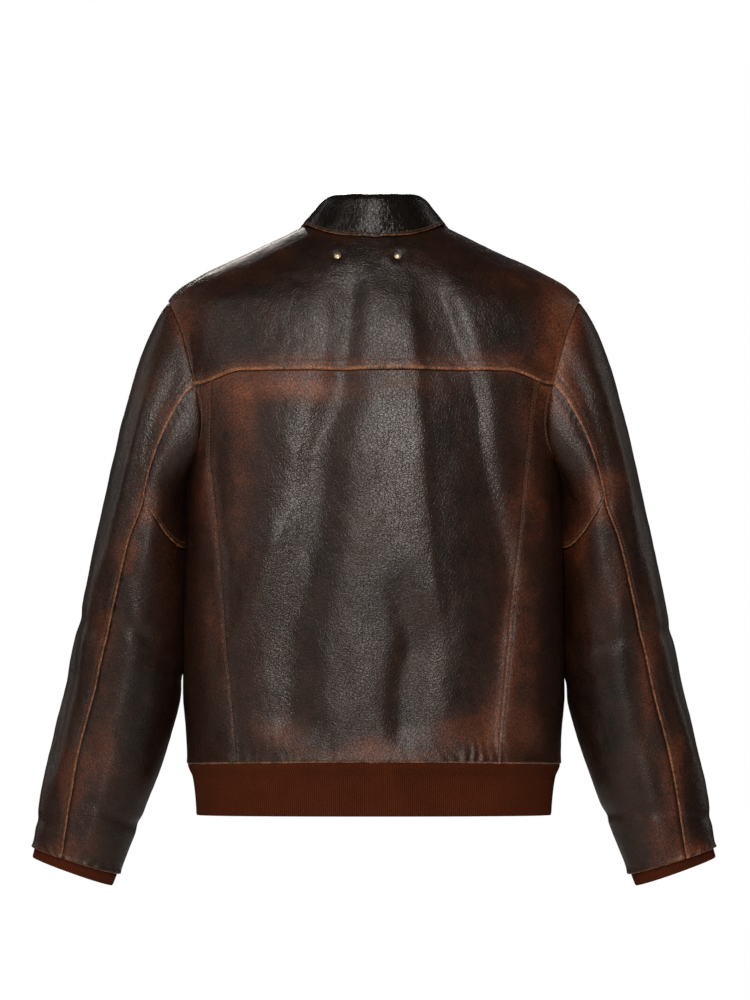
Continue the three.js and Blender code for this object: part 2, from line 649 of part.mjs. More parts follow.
// Places on the two sides of the long seams, as a share of the way round.
const underDegrees = (share, station) => lerp(sleeveBackSeam(station), SLEEVE_FRONT_SEAM, share);
const topDegrees = (share, station) => lerp(SLEEVE_FRONT_SEAM - 360, sleeveBackSeam(station), share);
const gussetStation = (share) => 1 + GUSSET_DROP * Math.sin(Math.PI * share);

function makeSleeves() {
  const armPlaces = places(ARM_ROWS, SPAN.sleeveArm[1]);
  const topStations = [
    ...places(CAP_ROWS, SPAN.sleeveCap[1], true, false),
    ...armPlaces.slice(1).map((w) => lerp(1, SLEEVE_END, w)),
  ];
  const underColumns = (SLEEVE_FRONT_SEAM - 90) / ARMHOLE_STEP;
  const topShares = places(360 / ARMHOLE_STEP - underColumns, SPAN.sleeveCap[0]);
  const underShares = places(underColumns, SPAN.sleeveArm[0]);
  // The gusset seam slants across the rows, so along them its gap is twice as wide.
  const gussetPlaces = places(CAP_ROWS, SPAN.gusset[1] / 2);
  for (const [name, side] of SIDES) {
    const top = topStations.map((t) => topShares.map((w) => [topDegrees(w, t), t]));
    add(`sleeve_top_${name}`, sleevePanel(side, top), leather);
    const upper = gussetPlaces.map((w) => underShares.map((u) => {
      const station = w * gussetStation(u);
      return [underDegrees(u, station), station];
    }));
    add(`sleeve_under_upper_${name}`, sleevePanel(side, upper), leather);
    const lower = armPlaces.map((w) => underShares.map((u) => {
      const station = lerp(gussetStation(u), SLEEVE_END, w);
      return [underDegrees(u, station), station];
    }));
    add(`sleeve_under_lower_${name}`, sleevePanel(side, lower), leather);
  }
}

// The rib cuffs, set inside the ends of the sleeves.
function makeCuffs() {
  const stations = [CUFF_START, SLEEVE_END, CUFF_END];
  const inset = LEATHER + CUFF_CLEAR;
  for (const [name, side] of SIDES) {
    const face = (depth) => stations.map((station) => Array.from({ length: CUFF_COLUMNS }, (_, i) => {
      const degrees = (360 * i) / CUFF_COLUMNS;
      return sleeve(side, degrees, station).addScaledVector(sleeveOutward(side, degrees, station), -depth);
    }));
    add(`cuff_rib_${name}`, ringBetween(face(inset), face(inset + RIB)), rib);
  }
}

// ---------------------------------------------------------------- the collar

// Degrees round the neck run from the left front end, over the back, to the right front end.
const frontTurns = Array.from({ length: NECK_ROWS }, (_, i) => (COLLAR_END * (i + 1)) / NECK_ROWS);
const backTurns = Array.from({ length: MIDDLE_COLUMNS + 1 }, (_, i) => (180 * i) / MIDDLE_COLUMNS);
const collarTurns = [
  ...frontTurns.map((turn) => -turn).reverse(), ...backTurns, ...frontTurns.map((turn) => 180 + turn),
];

// The line along which the collar folds over.
function rollLine(degrees) {
  const turn = rad(degrees);
  const aft = Math.sin(turn);
  const { halfWidth: wide, back, front, backZ, sideZ, frontZ } = COLLAR_ROLL;
  const z = aft > 0
    ? lerp(sideZ, backZ, 1 - (1 - aft) ** 2)
    : lerp(sideZ, frontZ, Math.abs(aft) ** NECK_CURVE);
  return vec(wide * Math.cos(turn), (aft > 0 ? back : front) * aft, z);
}

const edgeCurve = (knots, k) => through(knots.map((knot) => [knot[0], knot[k]]));
const edgeBack = [1, 2, 3].map((k) => edgeCurve(COLLAR_EDGE_BACK, k));
const edgeFront = [1, 2, 3].map((k) => edgeCurve(COLLAR_EDGE_FRONT, k));

// The collar's outer edge, lying just off the body.
function collarEdge(degrees) {
  const mirrored = degrees > 90 ? 180 - degrees : degrees;
  const curves = mirrored >= 0 ? edgeBack : edgeFront;
  const [x, y, z] = curves.map((curve) => curve(Math.abs(mirrored)));
  return offBody(vec(degrees > 90 ? -x : x, y, z), COLLAR_CLEAR);
}

// The way out of the stand: across the neckline and square to the stand's slope.
function standOutward(degrees) {
  const rise = rollLine(degrees).sub(neckline(degrees)).normalize();
  const round = rollLine(degrees + 1).sub(rollLine(degrees - 1));
  return round.cross(rise).normalize();
}

// A place on the collar's slope, a set distance out of the roll line and up along the stand.
function besideRoll(degrees, out, up) {
  const roll = rollLine(degrees);
  const rise = roll.clone().sub(neckline(degrees)).normalize();
  return roll.addScaledVector(standOutward(degrees), out).addScaledVector(rise, up);
}

// The stand rises from the neckline towards the roll line.
function makeCollarStand() {
  const foot = (turn) => between(neckline(turn), rollLine(turn), STAND_LIFT)
    .addScaledVector(outward(neckline(turn)).way, SEAM_GAP);
  const head = (turn) => besideRoll(turn, 0, -COLLAR_SEAM_DROP - SEAM_GAP);
  const outer = [0, 0.5, 1].map((share) => collarTurns.map((turn) => between(foot(turn), head(turn), share)));
  const inner = outer.map((row, i) => row.map((p, j) => {
    const way = i === 0 ? necklineEdge(collarTurns[j]) : standOutward(collarTurns[j]);
    return p.clone().addScaledVector(way, -LEATHER);
  }));
  add("collar_stand", wallBetween(outer, inner), collarLeather);
}

// The underside of the leaf, from the stand's top over the fold and down to the collar's edge.
function leafProfile(degrees) {
  const fold = COLLAR_FOLD.map(([out, up]) => besideRoll(degrees, out, up));
  const start = fold[fold.length - 1];
  const seam = neckline(degrees);
  const spring = seam.addScaledVector(outward(seam).way, COLLAR_SPRING);
  const edge = collarEdge(degrees);
  const fall = [0.25, 0.5, 0.75].map((t) =>
    between(between(start, spring, t), between(spring, edge, t), t));
  const lowest = fall.pop();
  const touches = fullness(lowest) < 1 + COLLAR_CLEAR * outward(lowest).rate;
  return [...fold, ...fall, touches ? offBody(lowest, COLLAR_CLEAR) : lowest, edge];
}

function makeCollarLeaf() {
  const profiles = collarTurns.map(leafProfile);
  const under = profiles[0].map((_, i) => profiles.map((profile) => profile[i]));
  const outer = under.map((row, i) => row.map((p, j) => {
    const [before, after] = [under[Math.max(0, i - 1)][j], under[Math.min(under.length - 1, i + 1)][j]];
    const round = row[Math.min(row.length - 1, j + 1)].clone().sub(row[Math.max(0, j - 1)]);
    const up = before.clone().sub(after);
    const way = i === 0 ? standOutward(collarTurns[j]).negate() : round.cross(up).normalize();
    return p.clone().addScaledVector(way, LEATHER);
  }));
  add("collar_leaf", wallBetween(outer, under), collarLeather);
}

// ---------------------------------------------------------------- the zip and the studs

const frontLevels = Array.from({ length: ROWS_BELOW_ARM + CHEST_ROWS }, (_, i) => frontEdgeZ(i / FRONT_ROWS));
const ribLevels = [...RIB_LEVELS].reverse().map((z) => z + HEM_LIFT);
const zipLevels = [ZIP.bottom, ...ribLevels.filter((z) => z > ZIP.bottom), ...frontLevels];

// A strip that runs up the front between two places across, lying between two depths in the wall.
function frontStrip(fromX, toX, depths, levels) {
  const [outer, inner] = depths.map((depth) => levels.map((z) => [fromX, toX].map((x) => {
    const p = onFront(x, z);
    return p.addScaledVector(outward(p).way, -depth);
  })));
  return wallBetween(outer, inner);
}

// Places at the zip's top are given across, out from the leather's face and down along the zip.
const sliderOrigin = onFront(0, ZIP.top);
const sliderOut = outward(sliderOrigin).way;
const sliderAcross = vec(1, 0, 0);
const sliderDown = sliderOut.clone().cross(sliderAcross).normalize();
if (sliderDown.z > 0) sliderDown.negate();
const sliderFrame = new THREE.Matrix4()
  .makeBasis(sliderAcross, sliderDown.clone().negate().cross(sliderAcross), sliderDown.clone().negate())
  .setPosition(sliderOrigin);

// An outline, drawn down and out, given a width across the zip.
function crossPlate(outline, halfAcross) {
  const shape = new THREE.Shape(outline.map(([down, out]) => new THREE.Vector2(down, out)));
  const geometry = new THREE.ExtrudeGeometry(shape, { depth: 2 * halfAcross, bevelEnabled: false });
  geometry.translate(0, 0, -halfAcross);
  return geometry.applyMatrix4(new THREE.Matrix4().makeBasis(vec(0, 0, -1), vec(0, -1, 0), vec(-1, 0, 0)));
}

function makeZip() {
  const tapeFace = LEATHER + ZIP.tapeGap;
  const tapeDepths = [tapeFace, tapeFace + ZIP.tape];
  const levels = [ribLevels[0], ...zipLevels, ZIP.tapeTop];
  for (const [name, side] of SIDES) {
    const [inner, outer] = [side * (ZIP.chain + SEAM_GAP), side * ZIP.tapeOuter];
    add(`zip_tape_${name}`, frontStrip(inner, outer, tapeDepths, levels), tapeCloth);
  }
  add("zip_chain", frontStrip(-ZIP.chain, ZIP.chain, CHAIN_DEPTHS, [...zipLevels, ZIP.top]), brass);
  const stopLevels = [ribLevels[0], ZIP.bottom - SEAM_GAP];
  add("zip_stop", frontStrip(-ZIP.chain, ZIP.chain, STOP_DEPTHS, stopLevels), brass);
  add("zip_slider", sliderBody(), brass).applyMatrix4(sliderFrame);
  add("zip_pull", pullTab(), brass).applyMatrix4(sliderFrame);
}

function solid(geometry) {
  const bare = geometry.clone();
  bare.deleteAttribute("normal");
  bare.deleteAttribute("uv");
  const merged = mergeVertices(bare);
  return new wasm.Manifold(new wasm.Mesh({
    numProp: 3,
    vertProperties: merged.getAttribute("position").array,
    triVerts: new Uint32Array(merged.getIndex().array),
  }));
}

function geometryOf(made) {
  const { vertProperties, triVerts } = made.getMesh();
  return new THREE.BufferGeometry()
    .setAttribute("position", new THREE.BufferAttribute(vertProperties, 3))
    .setIndex(new THREE.BufferAttribute(triVerts, 1));
}

const join = (geometries) => geometryOf(geometries.map(solid).reduce((a, b) => a.add(b)));

const JOIN = 0.1; // joined pieces run this far into each other
const oblong = (top, bottom, low, high) => [[top, low], [bottom, low], [bottom, high], [top, high]];

// Two plates with a post between them at the top, and a bail on the outer plate that holds the tab.
function sliderBody() {
  const { top, bottom, face, plate, back, across } = SLIDER;
  const outerPlate = crossPlate(oblong(top, bottom, face, face + plate), across);
  const innerPlate = crossPlate(oblong(top, bottom, back - plate, back), across);
  const post = crossPlate(oblong(top, top + POST.depth, back - JOIN, face + JOIN), POST.across);
  const { reach, leg, foot, crown, bevel } = BAIL;
  const bail = crossPlate([
    [-reach, foot - JOIN], [-reach + leg, foot - JOIN], [-reach + leg, crown], [reach - leg, crown],
    [reach - leg, foot - JOIN], [reach, foot - JOIN], [reach, BAIL.top - bevel], [reach - bevel, BAIL.top],
    [-reach + bevel, BAIL.top], [-reach, BAIL.top - bevel],
  ], BAIL.across);
  return join([outerPlate, innerPlate, post, bail]);
}

// The tab: a cross bar through the bail, two arms and a plate with rounded corners.
function pullTab() {
  const { plateFrom, end, half, corner, thick } = TAB;
  const bar = new THREE.CylinderGeometry(TAB_AXLE.radius, TAB_AXLE.radius, 2 * TAB_AXLE.halfLength, 16)
    .rotateZ(Math.PI / 2);
  const armLength = plateFrom + TAB_ARM.wide - TAB_ARM.from;
  const arms = [-1, 1].map((side) => new THREE.BoxGeometry(TAB_ARM.wide, thick, armLength)
    .translate(side * TAB_ARM.across, 0, -TAB_ARM.from - armLength / 2));
  const outline = new THREE.Shape();
  outline.moveTo(-half, -plateFrom).lineTo(half, -plateFrom).lineTo(half, -end + corner);
  outline.absarc(half - corner, -end + corner, corner, 0, -Math.PI / 2, true);
  outline.lineTo(-half + corner, -end);
  outline.absarc(-half + corner, -end + corner, corner, -Math.PI / 2, -Math.PI, true);
  outline.closePath();
  const plate = new THREE.ExtrudeGeometry(outline, { depth: thick, bevelEnabled: false, curveSegments: 4 })
    .translate(0, 0, -thick / 2)
    .rotateX(Math.PI / 2);
  return join([bar, ...arms, plate]).rotateX(rad(TAB_REST_TILT)).translate(0, -TAB_AXLE.out, -TAB_AXLE.down);
}

function makeStuds() {
  const { radius, rim, height } = STUD;
  const dome = [0, 0.25, 0.5, 0.75, 1].map((share) => {
    const turn = (share * Math.PI) / 2;
    return new THREE.Vector2(radius * Math.cos(turn), rim + (height - rim) * Math.sin(turn));
  });
  dome[dome.length - 1].x = 0;
  const profile = [new THREE.Vector2(0, 0), new THREE.Vector2(radius, 0), ...dome];
  for (const [name, x] of [["left", STUD.leftX], ["right", STUD.rightX]]) {
    const seat = onBack(x, STUD.z);
    const { way } = outward(seat);
    const mesh = add(`stud_${name}`, new THREE.LatheGeometry(profile, 16), brass);
    mesh.quaternion.setFromUnitVectors(vec(0, 1, 0), way);
    mesh.position.copy(seat).addScaledVector(way, SEAM_GAP);
  }
}

makeYoke();
makeBackCentre();
makeBackSides();
makeFronts();
makeSleeves();
makeCuffs();
makeHemRib();
makeCollarStand();
makeCollarLeaf();
makeZip();
makeStuds();

export default jacket;
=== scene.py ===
"""The looks of a worn leather blouson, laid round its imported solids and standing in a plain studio.

Sizes are in millimetres up to the point where a mesh is made, and then in metres. +Z is up, the front
faces -Y and the wearer's left is +X. The origin lies midway between the tops of the shoulder seams.
"""

from __future__ import annotations

import sys
import logging
import math
from dataclasses import dataclass, field
from enum import Enum
from typing import Callable, Sequence

import bpy
import numpy as np
from mathutils import Matrix, Vector


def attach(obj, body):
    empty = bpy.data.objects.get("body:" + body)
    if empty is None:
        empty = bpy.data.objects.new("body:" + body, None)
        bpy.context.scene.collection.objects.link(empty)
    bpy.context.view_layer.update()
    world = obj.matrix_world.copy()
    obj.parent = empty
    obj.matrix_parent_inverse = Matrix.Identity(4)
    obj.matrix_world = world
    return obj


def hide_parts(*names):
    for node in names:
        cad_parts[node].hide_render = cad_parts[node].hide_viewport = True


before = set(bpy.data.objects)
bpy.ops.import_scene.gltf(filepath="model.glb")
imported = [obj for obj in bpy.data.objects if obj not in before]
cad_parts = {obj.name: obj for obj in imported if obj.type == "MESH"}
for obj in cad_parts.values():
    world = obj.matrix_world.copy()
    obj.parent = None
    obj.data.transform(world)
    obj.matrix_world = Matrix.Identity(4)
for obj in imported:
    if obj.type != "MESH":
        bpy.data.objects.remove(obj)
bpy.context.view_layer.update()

log = logging.getLogger("blouson")

Array = np.ndarray
Colour = tuple[float, float, float]
Knots = Sequence[tuple[float, float]]
Strides = tuple[int, int]
Surface = Callable[[Array, Array], Array]  # a point at a share across and a share up
Socket = bpy.types.NodeSocket

MM = 0.001
LEATHER = 1.8  # thickness of the walls
RIB = 1.8
SEAM_GAP = 0.3  # between neighbouring solids
INNER_STRIDE = 3  # the inner face has one place for this many on the outer face
EVEN_STRIDES = (INNER_STRIDE, INNER_STRIDE)
EDGE_STEPS = (0.0, 0.5, 1.0, 1.8, 2.8, 4.0, 5.0, 6.2, 7.6, 9.5)  # places in from an edge
STITCH_STEP = 6  # which of them the topstitching runs along
EDGE_SHARE = 0.42  # the most of a narrow panel that the places by one edge take up
EDGE_MARGIN = 1.05  # how far past them the even places start
STUD_X = (40.0, -26.0)  # of the left and the right stud
STUD_Z = -36.0
SEAM_RUST = 0.34  # how far the dye is gone beside a seam
SEAM_RUST_REACH = 13.0
RIPPLE_HEIGHT = 0.5  # of the cloth's long slight waves
WRINKLE_HEIGHT = 0.16  # of its short ones
PUCKER_HEIGHT = 0.17  # of the small puckers beside the stitches
PUCKER_WAVE = 8.5
EDGE_BLEND = 0.004  # share of a side over which one kind of edge passes into the next
# The back's painted highlights pass into the front's over the same distance as its folds
STITCH_CLEAR = 2.0  # a line of stitches stops this far from the seams that it meets
FACE_BLEND = 14.0  # the back's folds and wear pass into the front's this far from the middle
FRONT_SEAM_DEGREES = 255.0  # of the sleeves' front seams, round from the top over the back
STITCHED_OUT = 4.5  # where the puckers beside a line of stitches are at their highest


# ---------------------------------------------------------------- small tools


def unit(v: Array) -> Array:
    """Return vectors brought to length 1."""
    return v / np.maximum(np.linalg.norm(v, axis=-1, keepdims=True), 1e-9)


def smooth(low: float, high: float, value: Array) -> Array:
    """Return 0 below low, 1 above high, and a smooth step between them."""
    t = np.clip((np.asarray(value, float) - low) / (high - low), 0.0, 1.0)
    return t * t * (3 - 2 * t)


def bell(offset: Array, width: Array) -> Array:
    """Return 1 at no offset, falling away smoothly over a width on either side."""
    return np.exp(-((offset / width) ** 2))


def mixed(a: Array, b: Array, t: Array) -> Array:
    """Return the place a share t of the way from a to b."""
    return a + (b - a) * t


def hermite(t: Array, start: Array, leave: Array, end: Array, arrive: Array) -> Array:
    """Return the place at a share t of a curve, from its ends and its slopes there."""
    t2, t3 = t * t, t * t * t
    away = start * (2 * t3 - 3 * t2 + 1) + leave * (t3 - 2 * t2 + t)
    return away + end * (3 * t2 - 2 * t3) + arrive * (t3 - t2)


def run_along(points: Array) -> Array:
    """Return how far along a line of points each one is."""
    steps = np.linalg.norm(np.diff(points, axis=0), axis=1)
    return np.concatenate([[0], np.cumsum(steps)])


def read_at(t: Array, at: Array, points: Array) -> Array:
    """Return points read off a line of points, by how far along it they are."""
    return np.stack([np.interp(t, at, points[:, k]) for k in range(3)], axis=-1)


def vec(x: Array, y: Array, z: Array) -> Array:
    """Return points made of three coordinates."""
    return np.stack(np.broadcast_arrays(np.asarray(x, float), y, z), axis=-1)


class Curve:
    """A smooth curve through knots, which never swings past them and is level beyond them."""

    def __init__(self, knots: Knots) -> None:
        """Take the curve's knots.

        Args:
            knots: Pairs of a place and the value there, in any order.
        """
        rising = sorted(knots)
        self.at = np.array([k[0] for k in rising], float)
        self.value = np.array([k[1] for k in rising], float)
        slope = np.diff(self.value) / np.diff(self.at)
        lean = np.empty(len(rising))
        lean[0], lean[-1] = slope[0], slope[-1]
        before, after = slope[:-1], slope[1:]
        product = before * after
        total = np.where(product > 0, before + after, 1.0)
        lean[1:-1] = np.where(product > 0, 2 * product / total, 0.0)
        self.lean = lean

    def __call__(self, x: Array) -> Array:
        """Return the curve's values.

        Args:
            x: The places to read it at.

        Returns:
            One value for each place.
        """
        x = np.asarray(x, float)
        i = np.clip(np.searchsorted(self.at, x, side="left") - 1, 0, len(self.at) - 2)
        width = self.at[i + 1] - self.at[i]
        t = np.clip((x - self.at[i]) / width, 0.0, 1.0)
        return hermite(t, self.value[i], width * self.lean[i], self.value[i + 1], width * self.lean[i + 1])


class Ripple:
    """Small random waves that run through space, the same on every run."""

    def __init__(self, seed: int, longest: float, shortest: float, upright: float = 1.0, count: int = 28) -> None:
        """Draw the waves.

        Args:
            seed: Seed of the random draw.
            longest: Longest wave.
            shortest: Shortest wave.
            upright: How much longer the waves are in height than across.
            count: How many waves are added up.
        """
        draw = np.random.default_rng(seed)
        way = unit(draw.normal(size=(count, 3)))
        length = np.exp(draw.uniform(np.log(shortest), np.log(longest), count))
        self.waves = way * (2 * np.pi / length)[:, None] * np.array([1.0, 1.0, 1.0 / upright])
        self.phase = draw.uniform(0, 2 * np.pi, count)

    def __call__(self, p: Array) -> Array:
        """Return the waves' height at points, mostly between -1 and 1."""
        total = np.zeros(p.shape[:-1])
        for wave, phase in zip(self.waves, self.phase):
            total += np.sin(p @ wave + phase)
        return total / math.sqrt(len(self.phase) / 2) / 2


class Side(Enum):
    """A side of the garment, by the sign of X there."""

    LEFT = 1
    RIGHT = -1

    @property
    def word(self) -> str:
        """Return the side's name as the solids' names have it."""
        return self.name.lower()


class Edge(Enum):
    """How a panel's edge is sewn: how far it stands off the form, by the distance in from the edge."""

    LAPPED = (
        (0, 0.5), (0.4, 1.3), (1.0, 1.5), (1.8, 1.42), (4, 1.1), (5, 0.65), (6.2, 0.9), (9.5, 0.6), (13, 0.2), (17, 0),
    )
    UNDER = ((0, -0.95), (0.8, -0.9), (1.8, -0.6), (2.8, -0.3), (4, -0.1), (6.2, 0))
    BUTTED = ((0, -0.9), (0.5, -0.35), (1, 0), (1.8, 0.25), (4, 0.1), (7, 0))
    FOLDED = ((0, -0.4), (0.5, 0.2), (1, 0.4), (1.8, 0.5), (2.8, 0.5), (4, 0.4), (5, -0.1), (6.2, 0.15), (9.5, 0))
    TURNED = ((0, -0.5), (0.5, 0.5), (1, 0.85), (1.8, 1.0), (4, 0.7), (8, 0.2), (14, 0))
    FREE = ((0, -0.3), (0.5, -0.05), (1, 0), (2, 0))

    @property
    def stitched(self) -> bool:
        """Return whether topstitching runs beside the edge."""
        return self in (Edge.LAPPED, Edge.FOLDED)

    @property
    def bared(self) -> Sequence[tuple[float, float, float]]:
        """Return the lines worn down to the tan, as (distance in, width, strength)."""
        ridge = (0.5, 0.7, 1.0)
        if self is Edge.BUTTED:
            return ((2.0, 1.0, 0.45),)
        return (ridge, (3.0, 1.8, 0.12)) if self.stitched else (ridge,) if self is Edge.TURNED else ()

    @property
    def shaded(self) -> Sequence[tuple[float, float, float]]:
        """Return the lines of painted shade in the hollow at the edge and in the stitch groove, as (distance in, width,
        strength).
        """
        if self.stitched:
            return ((5.0, 0.7, 0.5),)
        return {Edge.UNDER: ((0.0, 2.2, 1.0),), Edge.BUTTED: ((0.0, 0.8, 1.0),)}.get(self, ())


Sewn = Sequence[tuple[Edge, float]]  # the kinds of edge along one side, each up to a share of it


def sewn(**sides: Edge | Sewn) -> dict[str, Sewn]:
    """Say how each side of a panel is sewn, where one kind alone stands for the whole side."""
    return {side: ((how, 1.0),) if isinstance(how, Edge) else how for side, how in sides.items()}


def link(name: str, data: bpy.types.ID) -> bpy.types.Object:
    """Bring a mesh, a light or a camera into the scene under a name."""
    piece = bpy.data.objects.new(name, data)
    bpy.context.scene.collection.objects.link(piece)
    return piece


# ---------------------------------------------------------------- the form of the garment


@dataclass
class BodyForm:
    """The body: flat-sided ovals that change size with height, and the seams drawn on them."""

    neck_point_z: float = -2.0
    neck_back_z: float = -9.0
    neck_front_z: float = -75.0
    shoulder_point_z: float = -86.0
    yoke_seam_z: float = -160.0
    underarm_z: float = -268.0
    hem_seam_z: float = -594.0
    hem_z: float = -650.0
    hem_lift: float = 3.0
    neck_half_width: float = 72.0
    neck_curve: float = 1.3
    opening_half_width: float = 5.0
    half_widths: Knots = (
        (-650, 195), (-640, 195.5), (-609, 199), (-594, 204.5), (-507, 207.5), (-349, 206),
        (-268, 204), (-222, 211), (-178, 219), (-130, 226), (-100, 227.5), (-86, 225),
        (-71.5, 212), (-58, 190), (-38.4, 148.5), (-18.7, 107), (-2, 72), (10, 47),
    )
    back_depths: Knots = (
        (-650, 117), (-609, 119), (-594, 124), (-450, 126), (-350, 128), (-268, 127), (-178, 121),
        (-120, 111), (-86, 101), (-58, 89), (-40, 79), (-20, 66), (-9, 58), (-2, 54), (10, 46),
    )
    front_depths: Knots = (
        (-650, 119), (-609, 121), (-594, 126), (-450, 130), (-350, 132), (-268, 131), (-178, 122),
        (-120, 108), (-86, 95), (-75, 90), (-58, 83), (-40, 75), (-20, 65), (-2, 54), (10, 46),
    )
    squarenesses: Knots = ((-650, 2.4), (-268, 2.4), (-178, 2.3), (-86, 2.12), (-58, 2), (10, 2))
    armhole_squareness: float = 2.6
    armhole_back: float = 64.0
    armhole_front: float = 60.0
    armhole_drop: float = 0.25
    yoke_sag: float = 3.0
    yoke_turn: float = 145.0
    left_back_seam: Knots = ((-594, 153), (-361, 172), (-215, 183), (-170, 183))
    right_back_seam: Knots = ((-594, 138), (-361, 161), (-215, 174), (-170, 181))
    side_seam_forward: float = 16.0
    side_seam_turn: float = 60.0
    shoulder_seam_forward: float = 5.0
    rows_below_arm: int = 7
    back_rows: int = 13
    front_rows: int = 19
    neck_rows: int = 6

    def __post_init__(self) -> None:
        """Draw the curves that the tables give."""
        self.half_width = Curve(self.half_widths)
        self.back_depth = Curve(self.back_depths)
        self.front_depth = Curve(self.front_depths)
        self.squareness = Curve(self.squarenesses)
        self.back_seams = {Side.LEFT: Curve(self.left_back_seam), Side.RIGHT: Curve(self.right_back_seam)}
        self.back_break = self.rows_below_arm / self.back_rows
        self.front_break = self.rows_below_arm / self.front_rows
        self.neck_break = 1 - self.neck_rows / self.front_rows
        self.yoke_end = self.armhole(Side.LEFT, np.array(90.0))

    def fullness(self, p: Array) -> Array:
        """Return 1 on the form, less inside it and more outside."""
        z = p[..., 2]
        power = self.squareness(z)
        depth = np.where(p[..., 1] > 0, self.back_depth(z), self.front_depth(z))
        return (np.abs(p[..., 0]) / self.half_width(z)) ** power + (np.abs(p[..., 1]) / depth) ** power

    def outward(self, p: Array) -> tuple[Array, Array]:
        """Find the way out of the form.

        Args:
            p: Points near the form.

        Returns:
            The way out at each, of length 1, and how fast fullness grows along it.
        """
        step = 0.05
        slope = np.stack(
            [
                (self.fullness(p + step * axis) - self.fullness(p - step * axis)) / (2 * step)
                for axis in np.eye(3)
            ],
            axis=-1,
        )
        rate = np.linalg.norm(slope, axis=-1)
        return slope / rate[..., None], rate

    def onto(self, p: Array) -> Array:
        """Carry points straight out to the form: level below the arms, fanning out above them.

        Args:
            p: Points inside or near the form.

        Returns:
            The places on the form.
        """
        base = np.minimum(p[..., 2], self.underarm_z)
        foot = vec(0, 0, base)
        way = p - foot
        low, high = np.full(base.shape, 0.2), np.full(base.shape, 4.0)
        for _ in range(28):
            middle = (low + high) / 2
            inside = self.fullness(foot + way * middle[..., None]) < 1
            low, high = np.where(inside, middle, low), np.where(inside, high, middle)
        return foot + way * high[..., None]

    def off(self, p: Array, distance: Array) -> Array:
        """Move points along the way out until they stand a set distance off the form."""
        for _ in range(6):
            way, rate = self.outward(p)
            p = p + way * (distance - (self.fullness(p) - 1) / rate)[..., None]
        return p

    def _level(self, x: Array, z: Array) -> Array:
        """Return the share of the depth that the form has at a place across and a height."""
        power = self.squareness(z)
        return (1 - np.minimum(1.0, np.abs(x) / self.half_width(z)) ** power) ** (1 / power)

    def on_back(self, x: Array, z: Array) -> Array:
        """Return the point of the back at a place across and a height."""
        return vec(x, self.back_depth(z) * self._level(x, z), z)

    def on_front(self, x: Array, z: Array) -> Array:
        """Return the point of the front at a place across and a height."""
        return vec(x, -self.front_depth(z) * self._level(x, z), z)

    def on_side(self, side: Side, y: Array, z: Array) -> Array:
        """Return the point of the side at a place fore or aft and a height."""
        power = self.squareness(z)
        depth = np.where(y > 0, self.back_depth(z), self.front_depth(z))
        x = side.value * self.half_width(z) * (1 - (np.abs(y) / depth) ** power) ** (1 / power)
        return vec(x, y, z)

    def hem_height(self, level: float, x: Array) -> Array:
        """Return the height of the hem or its seam: a little more in the middle."""
        return level + self.hem_lift * (1 - np.minimum(1.0, np.abs(x) / self.half_width(level)) ** 2)

    def armhole(self, side: Side, degrees: Array) -> Array:
        """Draw the armhole.

        Args:
            side: Which armhole.
            degrees: From its top over the back, under the arm and up the front.

        Returns:
            Points of the seam.
        """
        turn = np.radians(degrees)
        power = 2 / self.armhole_squareness
        up = np.sign(np.cos(turn)) * np.abs(np.cos(turn)) ** power
        along = np.sign(np.sin(turn)) * np.abs(np.sin(turn)) ** power
        reach = np.where(along > 0, self.armhole_back, self.armhole_front)
        middle = (self.shoulder_point_z + self.underarm_z) / 2
        z = middle + (self.shoulder_point_z - self.underarm_z) / 2 * up
        return self.on_side(side, reach * along * (1 - self.armhole_drop * up), z)

    def yoke_z(self, x: Array) -> Array:
        """Return the height of the yoke seam at a place across."""
        across, end = np.abs(x), self.yoke_end[0]
        fall = self.yoke_seam_z - self.yoke_sag - self.yoke_end[2]
        turn = smooth(self.yoke_turn, end, across)
        return self.yoke_seam_z - self.yoke_sag * (across / end) ** 2 - fall * turn

    def back_seam(self, side: Side, v: Array) -> Array:
        """Draw the long seam of the back.

        Args:
            side: Which one.
            v: 0 at the hem seam to 1 at the yoke seam.

        Returns:
            Points of the seam.
        """
        seam_x = self.back_seams[side]
        foot = self.hem_height(self.hem_seam_z, seam_x(self.hem_seam_z))
        top = np.array(self.yoke_seam_z)
        for _ in range(20):
            top = self.yoke_z(seam_x(top))
        below = mixed(foot, self.underarm_z, v / self.back_break)
        above = mixed(self.underarm_z, top, (v - self.back_break) / (1 - self.back_break))
        z = np.where(v < self.back_break, below, above)
        return self.on_back(side.value * seam_x(z), z)

    def yoke_seam(self, from_x: float, to_x: float, s: Array) -> Array:
        """Return points of the yoke seam between two places across."""
        x = mixed(from_x, to_x, s)
        return self.on_back(x, self.yoke_z(x))

    def side_seam(self, side: Side, share: Array) -> Array:
        """Return points of the side seam, from the hem seam to the armhole."""
        z = mixed(self.hem_seam_z, self.underarm_z, share)
        forward = self.side_seam_forward * smooth(0, self.side_seam_turn, self.underarm_z - z)
        return self.on_side(side, -forward, z)

    def neckline(self, degrees: Array) -> Array:
        """Draw the neckline.

        Args:
            degrees: From the left side of the neck; 90 is the middle of the back.

        Returns:
            Points of the seam.
        """
        turn = np.radians(degrees)
        rise = np.sin(turn)
        back_fall = (self.neck_point_z - self.neck_back_z) * rise**2
        front_fall = (self.neck_point_z - self.neck_front_z) * np.abs(rise) ** self.neck_curve
        x = self.neck_half_width * np.cos(turn)
        z = self.neck_point_z - np.where(rise >= 0, back_fall, front_fall)
        return np.where((rise >= 0)[..., None], self.on_back(x, z), self.on_front(x, z))

